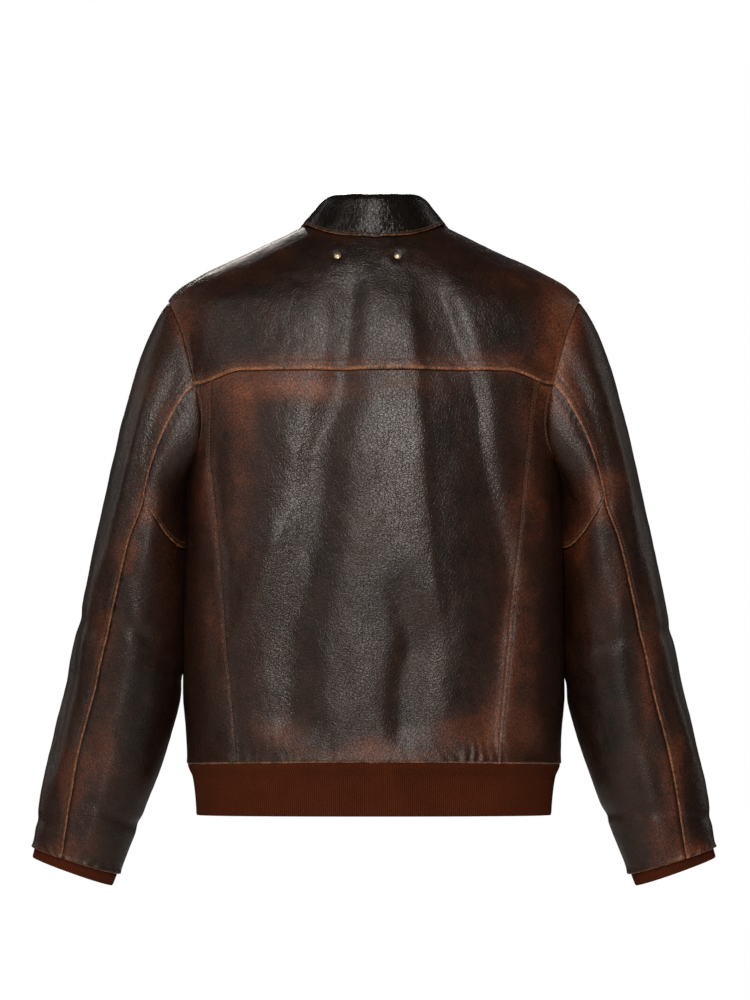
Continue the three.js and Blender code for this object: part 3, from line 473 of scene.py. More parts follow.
    def shoulder_seam(self, side: Side, share: Array) -> Array:
        """Return points of the shoulder seam, from the neck (0) to the sleeve (1)."""
        neck = np.array([side.value * self.neck_half_width, 0, self.neck_point_z])
        end = np.array([side.value * self.half_width(self.shoulder_point_z), 0, self.shoulder_point_z])
        p = mixed(neck, end, np.asarray(share, float)[..., None])
        p[..., 1] = -self.shoulder_seam_forward * np.sin(np.pi * share)
        at_end = (share <= 0) | (share >= 1)
        return np.where(at_end[..., None], p, self.onto(p))

    def hem_seam(self, start: Array, end: Array, s: Array) -> Array:
        """Return points of the hem seam between two points, level with the hem."""
        z = np.full(s.shape, self.hem_seam_z)
        p = self.onto(vec(mixed(start[0], end[0], s), mixed(start[1], end[1], s), z))
        return self.onto(vec(p[..., 0], p[..., 1], self.hem_height(self.hem_seam_z, p[..., 0])))


@dataclass
class SleeveForm:
    """The sleeves: tubes that start at the armholes and bend a little forward to the cuffs."""

    body: BodyForm
    stations: Sequence[tuple[float, float, float, float, float, float]] = (
        (1, 251, -2, -300, 44, 70),
        (2, 257.5, -4, -350, 48.5, 68),
        (3, 266.8, -8, -428, 55.5, 62),
        (4, 274.6, -13, -500, 62.5, 55),
        (5, 293.5, -18, -575, 61, 49),
        (6, 311.8, -22, -640, 57, 44),
        (7, 328.4, -26, -700.5, 50.5, 39),
        (7.4, 334.4, -27, -718, 49.5, 38),
    )
    end: float = 7.0
    cuff_start: float = 6.75
    cuff_end: float = 7.27
    cuff_clear: float = 1.2
    back_seam_degrees: Knots = ((0, 90), (1, 88), (2, 76), (3, 68.5), (4, 63.5), (5, 63), (6, 67), (7, 72.5))
    front_seam: float = FRONT_SEAM_DEGREES
    gusset_drop: float = 1.0
    leaves_top: float = 0.62
    leaves_bottom: float = 1.0
    out_top: float = 0.74
    out_bottom: float = 0.1
    aft: float = 0.3
    down: float = 0.78
    upper_arm: float = 0.4
    underarm_clear: float = 0.5
    clear: float = 2.0

    def __post_init__(self) -> None:
        """Draw the curves that the stations give."""
        self.tracks = [Curve([(s[0], s[k]) for s in self.stations]) for k in range(1, 6)]
        self.back_seam = Curve(self.back_seam_degrees)

    def centre(self, station: Array) -> Array:
        """Return the middle of the left sleeve at stations."""
        return np.stack([self.tracks[k](station) for k in range(3)], axis=-1)

    def ring(self, degrees: Array, station: Array) -> Array:
        """Return points of the left sleeve's ovals, below the armhole."""
        step = 0.02
        down = unit(self.centre(station + step) - self.centre(station - step))
        out = unit(vec(-down[..., 2], 0, down[..., 0]))
        back = unit(np.cross(out, down))
        turn = np.radians(degrees)
        wide = (self.tracks[3](station) * np.cos(turn))[..., None]
        deep = (self.tracks[4](station) * np.sin(turn))[..., None]
        return self.centre(station) + out * wide + back * deep

    def free(self, degrees: Array, station: Array) -> Array:
        """Return points of the left sleeve as it would hang on its own."""
        low = (1 - np.cos(np.radians(degrees))) / 2
        start = self.body.armhole(Side.LEFT, degrees)
        start = start + self.body.outward(start)[0] * (self.underarm_clear * low**2)[..., None]
        first = np.ones(np.shape(station))
        end = self.ring(degrees, first)
        reach = np.linalg.norm(end - start, axis=-1)[..., None]
        turn = np.radians(degrees)
        top, aft = (1 + np.cos(turn)) / 2, np.sin(turn)
        out = mixed(self.out_bottom, self.out_top, top) + self.aft * np.abs(aft)
        straight = mixed(self.leaves_top, self.leaves_bottom, low)[..., None]
        leave = unit(vec(out, self.aft * aft, -self.down)) * reach * straight
        arrive = unit(self.ring(degrees, first * 1.02) - end) * reach
        cap = hermite(np.minimum(1.0, station)[..., None], start, leave, end, arrive)
        return np.where((station >= 1)[..., None], self.ring(degrees, np.maximum(1.0, station)), cap)

    def place(self, side: Side, degrees: Array, station: Array) -> Array:
        """Find places on a sleeve, which lies along the body's side without touching it.

        Args:
            side: Which sleeve.
            degrees: Degrees round it, from its top over the back.
            station: Stations down it, from 0 at the armhole.

        Returns:
            Points of the sleeve.
        """
        degrees, station = np.broadcast_arrays(np.asarray(degrees, float), np.asarray(station, float))
        p = self.free(degrees, station)
        low = (1 - np.cos(np.radians(degrees))) / 2
        clear = self.clear * low * smooth(0, self.upper_arm, station)
        near = (low > 0.5) & (station > 0)
        touches = near & (self.body.fullness(p) < 1 + clear * self.body.outward(p)[1])
        if touches.any():
            p[touches] = self.body.off(p[touches], clear[touches])
        return p * np.array([side.value, 1, 1])

    def gusset_station(self, share: Array) -> Array:
        """Return where the gusset seam lies, by the share of the way under the arm."""
        return 1 + self.gusset_drop * np.sin(np.pi * share)

    def under_degrees(self, share: Array, station: Array) -> Array:
        """Return degrees round the under sleeve, by the share of the way across it."""
        return mixed(self.back_seam(station), self.front_seam, share)

    def top_degrees(self, share: Array, station: Array) -> Array:
        """Return degrees round the top sleeve, by the share of the way across it."""
        return mixed(self.front_seam - 360, self.back_seam(station), share)


@dataclass
class CollarForm:
    """The collar: a stand that rises from the neckline, and a leaf that folds over it."""

    body: BodyForm
    half_width: float = 51.0
    back: float = 50.0
    front: float = 66.0
    back_z: float = 30.0
    side_z: float = 18.0
    front_z: float = -50.0
    edge_back: Sequence[tuple[float, float, float, float]] = (
        (0, 75.5, 0, -4), (30, 62, 36, -8.5), (60, 36, 58, -13), (90, 0, 66, -14),
    )
    edge_front: Sequence[tuple[float, float, float, float]] = (
        (0, 75.5, 0, -4), (30, 81, -44, -32), (60, 68, -82, -76), (86, 38, -100, -104),
    )
    end: float = 86.0
    clear: float = 1.6
    seam_drop: float = 9.0
    spring: float = 7.0
    stand_lift: float = 0.025
    fold: Sequence[tuple[float, float]] = ((0, -9), (0, -4), (0.6, -1), (2.2, 0.4), (4, -0.6), (5, -3))

    def __post_init__(self) -> None:
        """Draw the curves of the outer edge."""
        self.back_curves = [Curve([(k[0], k[i]) for k in self.edge_back]) for i in (1, 2, 3)]
        self.front_curves = [Curve([(k[0], k[i]) for k in self.edge_front]) for i in (1, 2, 3)]

    def roll(self, degrees: Array) -> Array:
        """Return the line along which the collar folds over."""
        turn = np.radians(degrees)
        aft = np.sin(turn)
        back_z = mixed(self.side_z, self.back_z, 1 - (1 - aft) ** 2)
        front_z = mixed(self.side_z, self.front_z, np.abs(aft) ** self.body.neck_curve)
        y = np.where(aft > 0, self.back, self.front) * aft
        return vec(self.half_width * np.cos(turn), y, np.where(aft > 0, back_z, front_z))

    def edge(self, degrees: Array) -> Array:
        """Return the collar's outer edge, lying just off the body."""
        mirrored = np.where(degrees > 90, 180 - degrees, degrees)
        sides = [
            np.where(mirrored >= 0, b(np.abs(mirrored)), f(np.abs(mirrored)))
            for b, f in zip(self.back_curves, self.front_curves)
        ]
        sides[0] = np.where(degrees > 90, -sides[0], sides[0])
        return self.body.off(np.stack(sides, axis=-1), np.full(np.shape(degrees), self.clear))

    def outward(self, degrees: Array) -> Array:
        """Return the way out of the stand."""
        rise = unit(self.roll(degrees) - self.body.neckline(degrees))
        return unit(np.cross(self.roll(degrees + 1) - self.roll(degrees - 1), rise))

    def beside_roll(self, degrees: Array, out: float, up: float) -> Array:
        """Return places a set distance out of the roll line and up along the stand."""
        rise = unit(self.roll(degrees) - self.body.neckline(degrees))
        return self.roll(degrees) + self.outward(degrees) * out + rise * up

    def underside(self, degrees: Array) -> list[Array]:
        """Return the underside's lines, from the stand's top over the fold and down to the edge."""
        lines = [self.beside_roll(degrees, out, up) for out, up in self.fold]
        seam = self.body.neckline(degrees)
        spring = seam + self.body.outward(seam)[0] * self.spring
        start, edge = lines[-1], self.edge(degrees)
        for t in (0.25, 0.5, 0.75):
            p = mixed(mixed(start, spring, t), mixed(spring, edge, t), t)
            lines.append(p)
        touches = self.body.fullness(lines[-1]) < 1 + self.clear * self.body.outward(lines[-1])[1]
        lifted = self.body.off(lines[-1], np.full(np.shape(degrees), self.clear))
        lines[-1] = np.where(touches[..., None], lifted, lines[-1])
        return [*lines, edge]


# ---------------------------------------------------------------- folds, worn patches and painted highlights


@dataclass(frozen=True)
class Crease:
    """A soft ridge, or a trough where its height is negative, along a given line."""

    path: Knots  # (how far along, how far across)
    height: float
    before: float  # how wide it is on the lower side of its line
    after: float  # and on the higher side
    taper: float = 45.0

    def lift(self, along: Array, across: Array) -> Array:
        """Find how far the crease lifts the cloth.

        Args:
            along: Places along the crease's own direction.
            across: Places across it.

        Returns:
            The height at each place.
        """
        line = Curve(self.path)
        low, high = line.at[0], line.at[-1]
        offset = across - line(along)
        width = np.where(offset < 0, self.before, self.after)
        ends = smooth(low - self.taper / 2, low + self.taper / 2, along)
        ends = ends * (1 - smooth(high - self.taper / 2, high + self.taper / 2, along))
        return self.height * ends * bell(offset, width)


@dataclass(frozen=True)
class Patch:
    """A soft patch of rust, or of gloss with painted highlight, at a place across and a height."""

    x: float
    z: float
    wide: float
    high: float
    strength: float
    lean: float = 0.0  # how far it leans across for each unit of height

    def amount(self, p: Array) -> Array:
        """Return how strong the patch is at points."""
        dz = p[..., 2] - self.z
        dx = p[..., 0] - self.x - self.lean * dz
        return self.strength * np.exp(-((dx / self.wide) ** 2) - (dz / self.high) ** 2)


def creased(rows: Sequence[tuple]) -> tuple[Crease, ...]:
    """Return the creases of a table, each as (path, height, before, after, taper)."""
    return tuple(Crease(*row) for row in rows)


def patched(rows: Sequence[tuple]) -> tuple[Patch, ...]:
    """Return the patches of a table, each as (across, height, wide, high, strength, lean)."""
    return tuple(Patch(*row) for row in rows)


# Ridges and troughs of the back, as (height, place across) along each
BACK_CREASES = creased((
    (((-60, 24), (-106, 27), (-165, 35)), -5.0, 14, 22),
    (
        ((-155, 34), (-194, 41), (-238, 54), (-282, 59), (-335, 63), (-370, 70), (-414, 80), (-458, 90), (-560, 93)),
        -8.0, 25, 28,
    ),
    (((-90, -38), (-194, -48), (-238, -52), (-326, -58), (-370, -62), (-440, -72)), 2.6, 10, 26, 80),
    (
        ((-60, -66), (-106, -82), (-144, -96), (-194, -112), (-238, -116), (-326, -135), (-414, -152)),
        -6.0, 13, 42, 80,
    ),
    (((-415, -32), (-458, -40), (-502, -32), (-546, -30), (-590, -30)), -6.5, 34, 16, 110),
    (((-420, -142), (-502, -128), (-590, -124)), -5.0, 20, 36),
    (((-330, 112), (-425, 138), (-480, 160)), 3.6, 14, 16),
    (((-160, -166), (-240, -165)), 2.2, 10, 10, 30),
    (((-100, -178), (-150, -186)), 2.6, 14, 16, 30),
    (((-250, 190), (-400, 188), (-560, 180)), 3.0, 12, 12),
    (((-250, -186), (-400, -184), (-560, -172)), 3.0, 12, 12),
    (((-240, 206), (-360, 212), (-540, 210)), 2.3, 14, 20),
    (((-240, -206), (-360, -212), (-540, -210)), 2.3, 20, 14),
))

# Ridges and troughs of the front, which is plain: long soft ones that fall from the chest
FRONT_CREASES = creased((
    (((-120, 120), (-220, 104), (-380, 92), (-560, 84)), 4.7, 18, 24),
    (((-260, 150), (-400, 138), (-580, 128)), -3.9, 16, 18),
    (((-300, 44), (-440, 50), (-590, 46)), -3.6, 16, 20),
    (((-200, 186), (-330, 176), (-520, 168)), 3.6, 14, 16),
    (((-400, 62), (-480, 68), (-590, 74)), 3.4, 12, 12),
    (((-120, -124), (-230, -108), (-400, -98), (-570, -90)), 4.9, 22, 18),
    (((-240, -150), (-420, -142), (-590, -126)), -3.9, 18, 16),
    (((-320, -48), (-450, -46), (-590, -52)), -3.4, 20, 16),
    (((-210, -184), (-350, -174), (-540, -170)), 3.4, 16, 14),
    (((-380, -60), (-470, -72), (-590, -76)), 3.1, 12, 12),
    (((-240, 206), (-360, 212), (-540, 210)), 2.3, 14, 20),
    (((-240, -206), (-360, -212), (-540, -210)), 2.3, 20, 14),
))

# Ridges and troughs down each sleeve, as (station, degrees) along each, and those that run round it
LEFT_SLEEVE_CREASES = creased((
    (((0.3, 60), (0.9, 56), (1.6, 52), (2.4, 50)), 3.2, 12, 13, 0.5),
    (((0.2, 78), (0.8, 82), (1.3, 84)), -2.2, 10, 8, 0.4),
    (((0.9, 112), (1.6, 106), (2.4, 100)), 2.5, 10, 14, 0.5),
    (((2.4, 34), (3.4, 38), (4.4, 46), (5.6, 50)), 3.0, 12, 14, 0.8),
    (((2.8, 96), (3.8, 92), (4.8, 88)), 3.0, 12, 14, 0.7),
    (((3.2, 14), (4.4, 20), (5.6, 26)), -2.5, 12, 12, 0.7),
    (((4.9, 96), (5.8, 100), (6.8, 96)), 2.5, 10, 12, 0.6),
    (((0.8, -60), (2.2, -50), (3.6, -46)), 3.2, 14, 14, 0.8),
    (((3.4, -80), (4.6, -74), (6.2, -70)), 3.0, 12, 14, 0.8),
    (((0.3, 186), (1.8, 188), (3.4, 184), (5.4, 182)), 2.9, 26, 26, 1.6),
))
RIGHT_SLEEVE_CREASES = creased((
    (((0.3, 54), (0.9, 50), (1.5, 50), (2.2, 54)), 3.0, 12, 12, 0.5),
    (((0.2, 76), (0.8, 80), (1.3, 86)), -2.0, 8, 10, 0.4),
    (((0.9, 108), (1.7, 104), (2.6, 104)), 2.5, 12, 12, 0.5),
    (((2.6, 42), (3.6, 44), (4.6, 38), (5.4, 34)), 3.2, 14, 12, 0.8),
    (((2.6, 88), (3.6, 92), (4.8, 96)), 2.8, 12, 14, 0.7),
    (((3.0, 18), (4.2, 16), (5.4, 10)), -2.2, 12, 12, 0.7),
    (((5.0, 92), (5.9, 96), (6.8, 98)), 2.5, 12, 10, 0.6),
    (((0.8, -54), (2.2, -56), (3.8, -48)), 3.0, 14, 14, 0.8),
    (((3.6, -76), (4.8, -80), (6.4, -68)), 3.2, 14, 12, 0.8),
    (((0.3, 186), (1.8, 188), (3.4, 184), (5.4, 182)), 2.9, 26, 26, 1.6),
))
LEFT_ELBOW_CREASES = creased((
    (((-60, 3.3), (10, 3.15), (70, 3.3)), -1.9, 0.12, 0.15, 40),
    (((84, 3.1), (130, 3.4), (170, 3.5)), -2.6, 0.14, 0.14, 40),
    (((120, 3.6), (190, 3.9), (250, 3.8)), -2.5, 0.12, 0.14, 40),
    (((90, 5.9), (150, 6.1), (220, 6.0)), -1.8, 0.1, 0.12, 40),
    (((-70, 6.3), (0, 6.45), (60, 6.4)), -1.5, 0.1, 0.1, 40),
))
RIGHT_ELBOW_CREASES = creased((
    (((-50, 3.2), (20, 3.35), (80, 3.2)), -1.8, 0.12, 0.14, 40),
    (((80, 3.3), (125, 3.4), (168, 3.3)), -2.6, 0.14, 0.12, 40),
    (((110, 3.8), (200, 4.0), (260, 3.7)), -2.2, 0.12, 0.12, 40),
    (((80, 6.1), (160, 5.9), (230, 6.1)), -1.8, 0.12, 0.1, 40),
    (((-60, 6.2), (10, 6.4), (70, 6.3)), -1.5, 0.1, 0.1, 40),
))

# Where the dark finish has worn through to the rust-brown beneath it, on the back and on the front
BACK_RUST = patched((
    (95, -176, 62, 17, 0.95), (60, -190, 45, 14, 0.5), (150, -190, 26, 40, 0.6),
    (-30, -176, 60, 11, 0.5), (-125, -150, 60, 14, 0.45), (40, -150, 80, 9, 0.4),
    (-205, -105, 26, 46, 1.35), (-165, -62, 45, 16, 0.5), (-196, -150, 20, 26, 0.5),
    (205, -108, 26, 44, 0.55), (150, -56, 40, 14, 0.35), (104, -28, 22, 12, 0.4),
    (142, -230, 26, 60, 0.42), (150, -330, 18, 90, 0.4), (130, -470, 18, 70, 0.3),
    (-150, -330, 14, 110, 0.4), (-142, -480, 16, 70, 0.5), (-165, -210, 16, 30, 0.3),
    (103, -558, 34, 22, 0.75), (4, -572, 26, 16, 0.7), (-84, -556, 30, 24, 0.8),
    (-128, -552, 20, 34, 0.85), (60, -580, 40, 10, 0.4), (-40, -582, 40, 9, 0.45),
    (185, -300, 14, 60, 0.5), (180, -450, 16, 80, 0.5), (188, -560, 14, 30, 0.4),
    (-180, -300, 14, 60, 0.45), (-168, -460, 18, 80, 0.55), (-172, -560, 20, 26, 0.6),
    (250, -180, 18, 26, 0.55), (225, -215, 12, 30, 0.6), (252, -310, 20, 24, 0.65),
    (274, -364, 20, 28, 0.55), (294, -445, 20, 36, 0.6), (304, -600, 26, 40, 0.6),
    (340, -600, 12, 60, 0.5), (340, -690, 22, 18, 0.7), (230, -390, 18, 60, 0.35),
    (290, -560, 14, 50, 0.45), (310, -680, 14, 24, 0.5),
    (-216, -188, 16, 26, 0.6), (-251, -292, 26, 26, 1.0), (-222, -352, 18, 34, 0.7),
    (-262, -400, 14, 50, 0.45), (-300, -500, 14, 70, 0.7), (-330, -600, 14, 60, 0.75),
    (-290, -600, 22, 50, 0.35), (-350, -690, 24, 18, 0.75), (-240, -440, 20, 60, 0.4),
    (-275, -230, 14, 40, 0.35), (-310, -420, 14, 60, 0.3), (-312, -670, 16, 34, 0.5),
))
FRONT_RUST = patched((
    (0, -340, 26, 220, 0.4), (90, -176, 60, 24, 0.45), (-90, -182, 60, 24, 0.45),
    (100, -560, 40, 24, 0.6), (-96, -562, 42, 24, 0.6), (30, -575, 30, 14, 0.4),
    (205, -110, 26, 44, 0.6), (-205, -108, 26, 46, 0.7), (165, -60, 42, 16, 0.5),
    (-165, -60, 42, 16, 0.5), (176, -400, 18, 110, 0.45), (-176, -410, 18, 110, 0.45),
    (252, -300, 22, 28, 0.6), (-252, -296, 24, 28, 0.6), (292, -470, 18, 60, 0.5),
    (-294, -500, 18, 70, 0.5), (330, -620, 20, 60, 0.5), (-330, -610, 20, 60, 0.55),
    (344, -690, 24, 18, 0.65), (-346, -690, 24, 18, 0.65), (240, -400, 20, 60, 0.35),
    (-240, -420, 20, 60, 0.35),
))

# Where the leather is glossier, with a paler painted highlight laid over it
BACK_GLOSS_AND_HIGHLIGHT = patched((
    (54, -115, 18, 45, 0.15), (72, -220, 18, 50, 0.75, -0.15), (84, -290, 20, 50, 0.9, -0.2),
    (94, -370, 24, 40, 0.7, -0.1), (100, -480, 12, 80, 0.75), (132, -465, 24, 36, 0.5, -0.3),
    (-28, -115, 22, 40, 0.15), (-30, -230, 30, 55, 1.0), (-32, -310, 34, 60, 0.95),
    (-60, -380, 13, 40, 0.65), (10, -460, 15, 70, 0.6), (-70, -490, 11, 60, 0.6),
    (-122, -225, 9, 40, 0.8, 0.1), (-136, -290, 8, 40, 0.9, 0.3), (-149, -360, 9, 36, 0.8),
    (-110, -100, 15, 30, 0.35), (-122, -150, 12, 25, 0.3), (-160, -194, 12, 24, 0.6),
    (245, -240, 14, 50, 0.8, -0.2), (292, -440, 16, 50, 0.5), (-238, -250, 14, 50, 0.4, 0.2),
    (190, -130, 12, 40, 0.5), (-197, -128, 14, 30, 0.6), (178, -200, 8, 30, 0.5),
    (16, -40, 90, 18, 0.25), (-300, -560, 14, 60, 0.3), (315, -560, 14, 60, 0.3),
))
FRONT_GLOSS_AND_HIGHLIGHT = patched((
    (100, -280, 26, 110, 0.7, -0.06), (-104, -290, 26, 110, 0.7, 0.06), (60, -480, 20, 70, 0.5),
    (-66, -480, 20, 70, 0.5), (140, -110, 30, 40, 0.4), (-140, -110, 30, 40, 0.4),
    (260, -300, 20, 80, 0.5), (-260, -300, 20, 80, 0.5),
))

RIPPLES = Ripple(seed=7, longest=70, shortest=26, upright=1.5)
WRINKLES = Ripple(seed=11, longest=24, shortest=9, upright=1.3, count=40)
JITTER = Ripple(seed=23, longest=60, shortest=18)


def by_face(p: Array, back: Array, front: Array) -> Array:
    """Return one value on the back and the other on the front, passing smoothly between them."""
    return mixed(front, back, smooth(-FACE_BLEND, FACE_BLEND, p[..., 1]))


def patches(p: Array, back: Sequence[Patch], front: Sequence[Patch]) -> Array:
    """Add up patches of rust, or of gloss with painted highlight, at points of the back and of the front."""
    total_back = sum((patch.amount(p) for patch in back), np.zeros(p.shape[:-1]))
    total_front = sum((patch.amount(p) for patch in front), np.zeros(p.shape[:-1]))
    return by_face(p, total_back, total_front)


def body_folds(p: Array) -> Array:
    """Return how far the body's folds lift the cloth at points of its form."""
    x, z = p[..., 0], p[..., 2]
    back = sum((c.lift(z, x) for c in BACK_CREASES), np.zeros(x.shape))
    front = sum((c.lift(z, x) for c in FRONT_CREASES), np.zeros(x.shape))
    return by_face(p, back, front)


def sleeve_folds(side: Side, degrees: Array, station: Array) -> Array:
    """Return how far a sleeve's folds lift the cloth.

    Args:
        side: Which sleeve.
        degrees: Degrees round it.
        station: Stations down it.

    Returns:
        The height at each place.
    """
    down, elbow = {
        Side.LEFT: (LEFT_SLEEVE_CREASES, LEFT_ELBOW_CREASES),
        Side.RIGHT: (RIGHT_SLEEVE_CREASES, RIGHT_ELBOW_CREASES),
    }[side]
    turn = np.where(degrees > FRONT_SEAM_DEGREES, degrees - 360, degrees)
    total = sum((c.lift(station, turn) for c in down), np.zeros(station.shape))
    return total + sum((c.lift(turn, station) for c in elbow), np.zeros(station.shape))


# ---------------------------------------------------------------- laying cloth on the form


@dataclass
class Grid:
    """A panel's places on the form, row by row, with how far each is from the panel's edges."""

    s: Array
    v: Array
    points: Array
    normals: Array
    inset: dict[str, Array]  # distance in from the foot, head, start and end
    run: dict[str, Array]  # distance along those edges


def steps_between(start: Array, end: Array, length: float, pitch: float) -> Array:
    """Divide part of each row evenly.

    Args:
        start: Share of each row where the part starts.
        end: Share where it ends.
        length: Length of the longest row.
        pitch: Distance between places.

    Returns:
        For each row, the places after the start, up to the end.
    """
    count = INNER_STRIDE * max(1, round(float((end - start).mean()) * length / pitch / INNER_STRIDE))
    return start[:, None] + (end - start)[:, None] * np.arange(1, count + 1) / count


def line_places(scale_start: Array, scale_end: Array, length: float, pitch: float, breaks: Sequence[float]) -> Array:
    """Place the grid lines that cross one direction: close together by both edges.

    Args:
        scale_start: For each crossing line, the share of it that 1 mm in from its start is.
        scale_end: The same at its end.
        length: Length of the longest line.
        pitch: Distance between places away from the edges.
        breaks: Shares where a place has to fall.

    Returns:
        One row of shares for each crossing line.
    """
    edge = np.array(EDGE_STEPS)
    most = EDGE_SHARE / edge[-1]
    scale_start, scale_end = np.minimum(scale_start, most), np.minimum(scale_end, most)
    margin = EDGE_MARGIN * edge[-1]
    first, last = margin * scale_start, 1 - margin * scale_end
    stops = [first, *(np.full(first.shape, share) for share in breaks), last]
    inner = np.concatenate([steps_between(a, b, length, pitch) for a, b in zip(stops, stops[1:])], axis=1)[:, :-1]
    low = np.outer(scale_start, edge)
    high = 1 - np.outer(scale_end, edge)[:, ::-1]
    return np.concatenate([low, inner, high], axis=1)


def slant(edge_line: Array, inward: Array) -> Array:
    """Return the sine of the angle at which grid lines leave an edge."""
    along = unit(np.gradient(edge_line, axis=0))
    return np.maximum(0.5, np.linalg.norm(np.cross(along, unit(inward)), axis=-1))


def lay_grid(
    surface: Surface,
    pitch: float,
    across_breaks: Sequence[float] = (),
    up_breaks: Sequence[float] = (),
) -> Grid:
    """Lay a grid on a panel's surface, with places at set distances in from its edges.

    Args:
        surface: Gives the point at a share across and a share up.
        pitch: Distance between places away from the edges.
        across_breaks: Shares across where the panel's outline has a corner.
        up_breaks: Shares up where it has one.

    Returns:
        The grid, whose rows and columns are each a multiple of the inner face's stride.
    """
    share = np.linspace(0, 1, 49)
    s, v = np.meshgrid(share, share)
    rough = surface(s, v)
    row_length = np.linalg.norm(np.diff(rough, axis=1), axis=-1).sum(1)
    column_length = np.linalg.norm(np.diff(rough, axis=0), axis=-1).sum(0)
    angle = {
        "start": slant(rough[:, 0], rough[:, 1] - rough[:, 0]),
        "end": slant(rough[:, -1], rough[:, -2] - rough[:, -1]),
        "foot": slant(rough[0], rough[1] - rough[0]),
        "head": slant(rough[-1], rough[-2] - rough[-1]),
    }
    # First the lines' places as they are on average, then each line's own near the edges
    row_ends = [1 / (row_length * angle[k]) for k in ("start", "end")]
    column_ends = [1 / (column_length * angle[k]) for k in ("foot", "head")]
    across = line_places(row_ends[0], row_ends[1], row_length.max(), pitch, across_breaks)
    up = line_places(column_ends[0], column_ends[1], column_length.max(), pitch, up_breaks)
    mean_up, mean_across = up.mean(0), across.mean(0)
    s = np.stack([np.interp(mean_up, share, column) for column in across.T], axis=1)
    v = np.stack([np.interp(mean_across, share, row) for row in up.T], axis=0)
    points = surface(s, v)
    lengths = np.interp(mean_up, share, row_length)[:, None]
    heights = np.interp(mean_across, share, column_length)[None, :]
    read_row = {k: np.interp(mean_up, share, angle[k])[:, None] for k in ("start", "end")}
    read_column = {k: np.interp(mean_across, share, angle[k])[None, :] for k in ("foot", "head")}
    inset = {
        "foot": v * heights * read_column["foot"],
        "head": (1 - v) * heights * read_column["head"],
        "start": s * lengths * read_row["start"],
        "end": (1 - s) * lengths * read_row["end"],
    }
    run = {"foot": s * lengths, "head": s * lengths, "start": v * heights, "end": v * heights}
    return Grid(s, v, points, grid_normals(points), inset, run)


def grid_normals(points: Array, wraps: bool = False) -> Array:
    """Find the normals of a grid of points.

    Args:
        points: The grid.
        wraps: Whether its columns run all the way round.

    Returns:
        Unit normals, along columns crossed with rows.
    """
    if wraps:
        around = np.roll(points, -1, axis=1) - np.roll(points, 1, axis=1)
    else:
        around = np.gradient(points, axis=1)
    return unit(np.cross(around, np.gradient(points, axis=0)))


def loop_of(rows: int, columns: int) -> list[int]:
    """Return the places round a grid's border, in order."""
    loop = [j for j in range(columns - 1)]
    loop += [i * columns + columns - 1 for i in range(rows - 1)]
    loop += [(rows - 1) * columns + j for j in range(columns - 1, 0, -1)]
    return loop + [i * columns for i in range(rows - 1, 0, -1)]


def quads(rows: int, columns: int, wraps: bool = False) -> Array:
    """Return the faces between a grid's places."""
    i, j = np.meshgrid(np.arange(rows - 1), np.arange(columns if wraps else columns - 1), indexing="ij")
    right, low, high = (j + 1) % columns, i * columns, (i + 1) * columns
    return np.stack([low + j, low + right, high + right, high + j], -1).reshape(-1, 4)


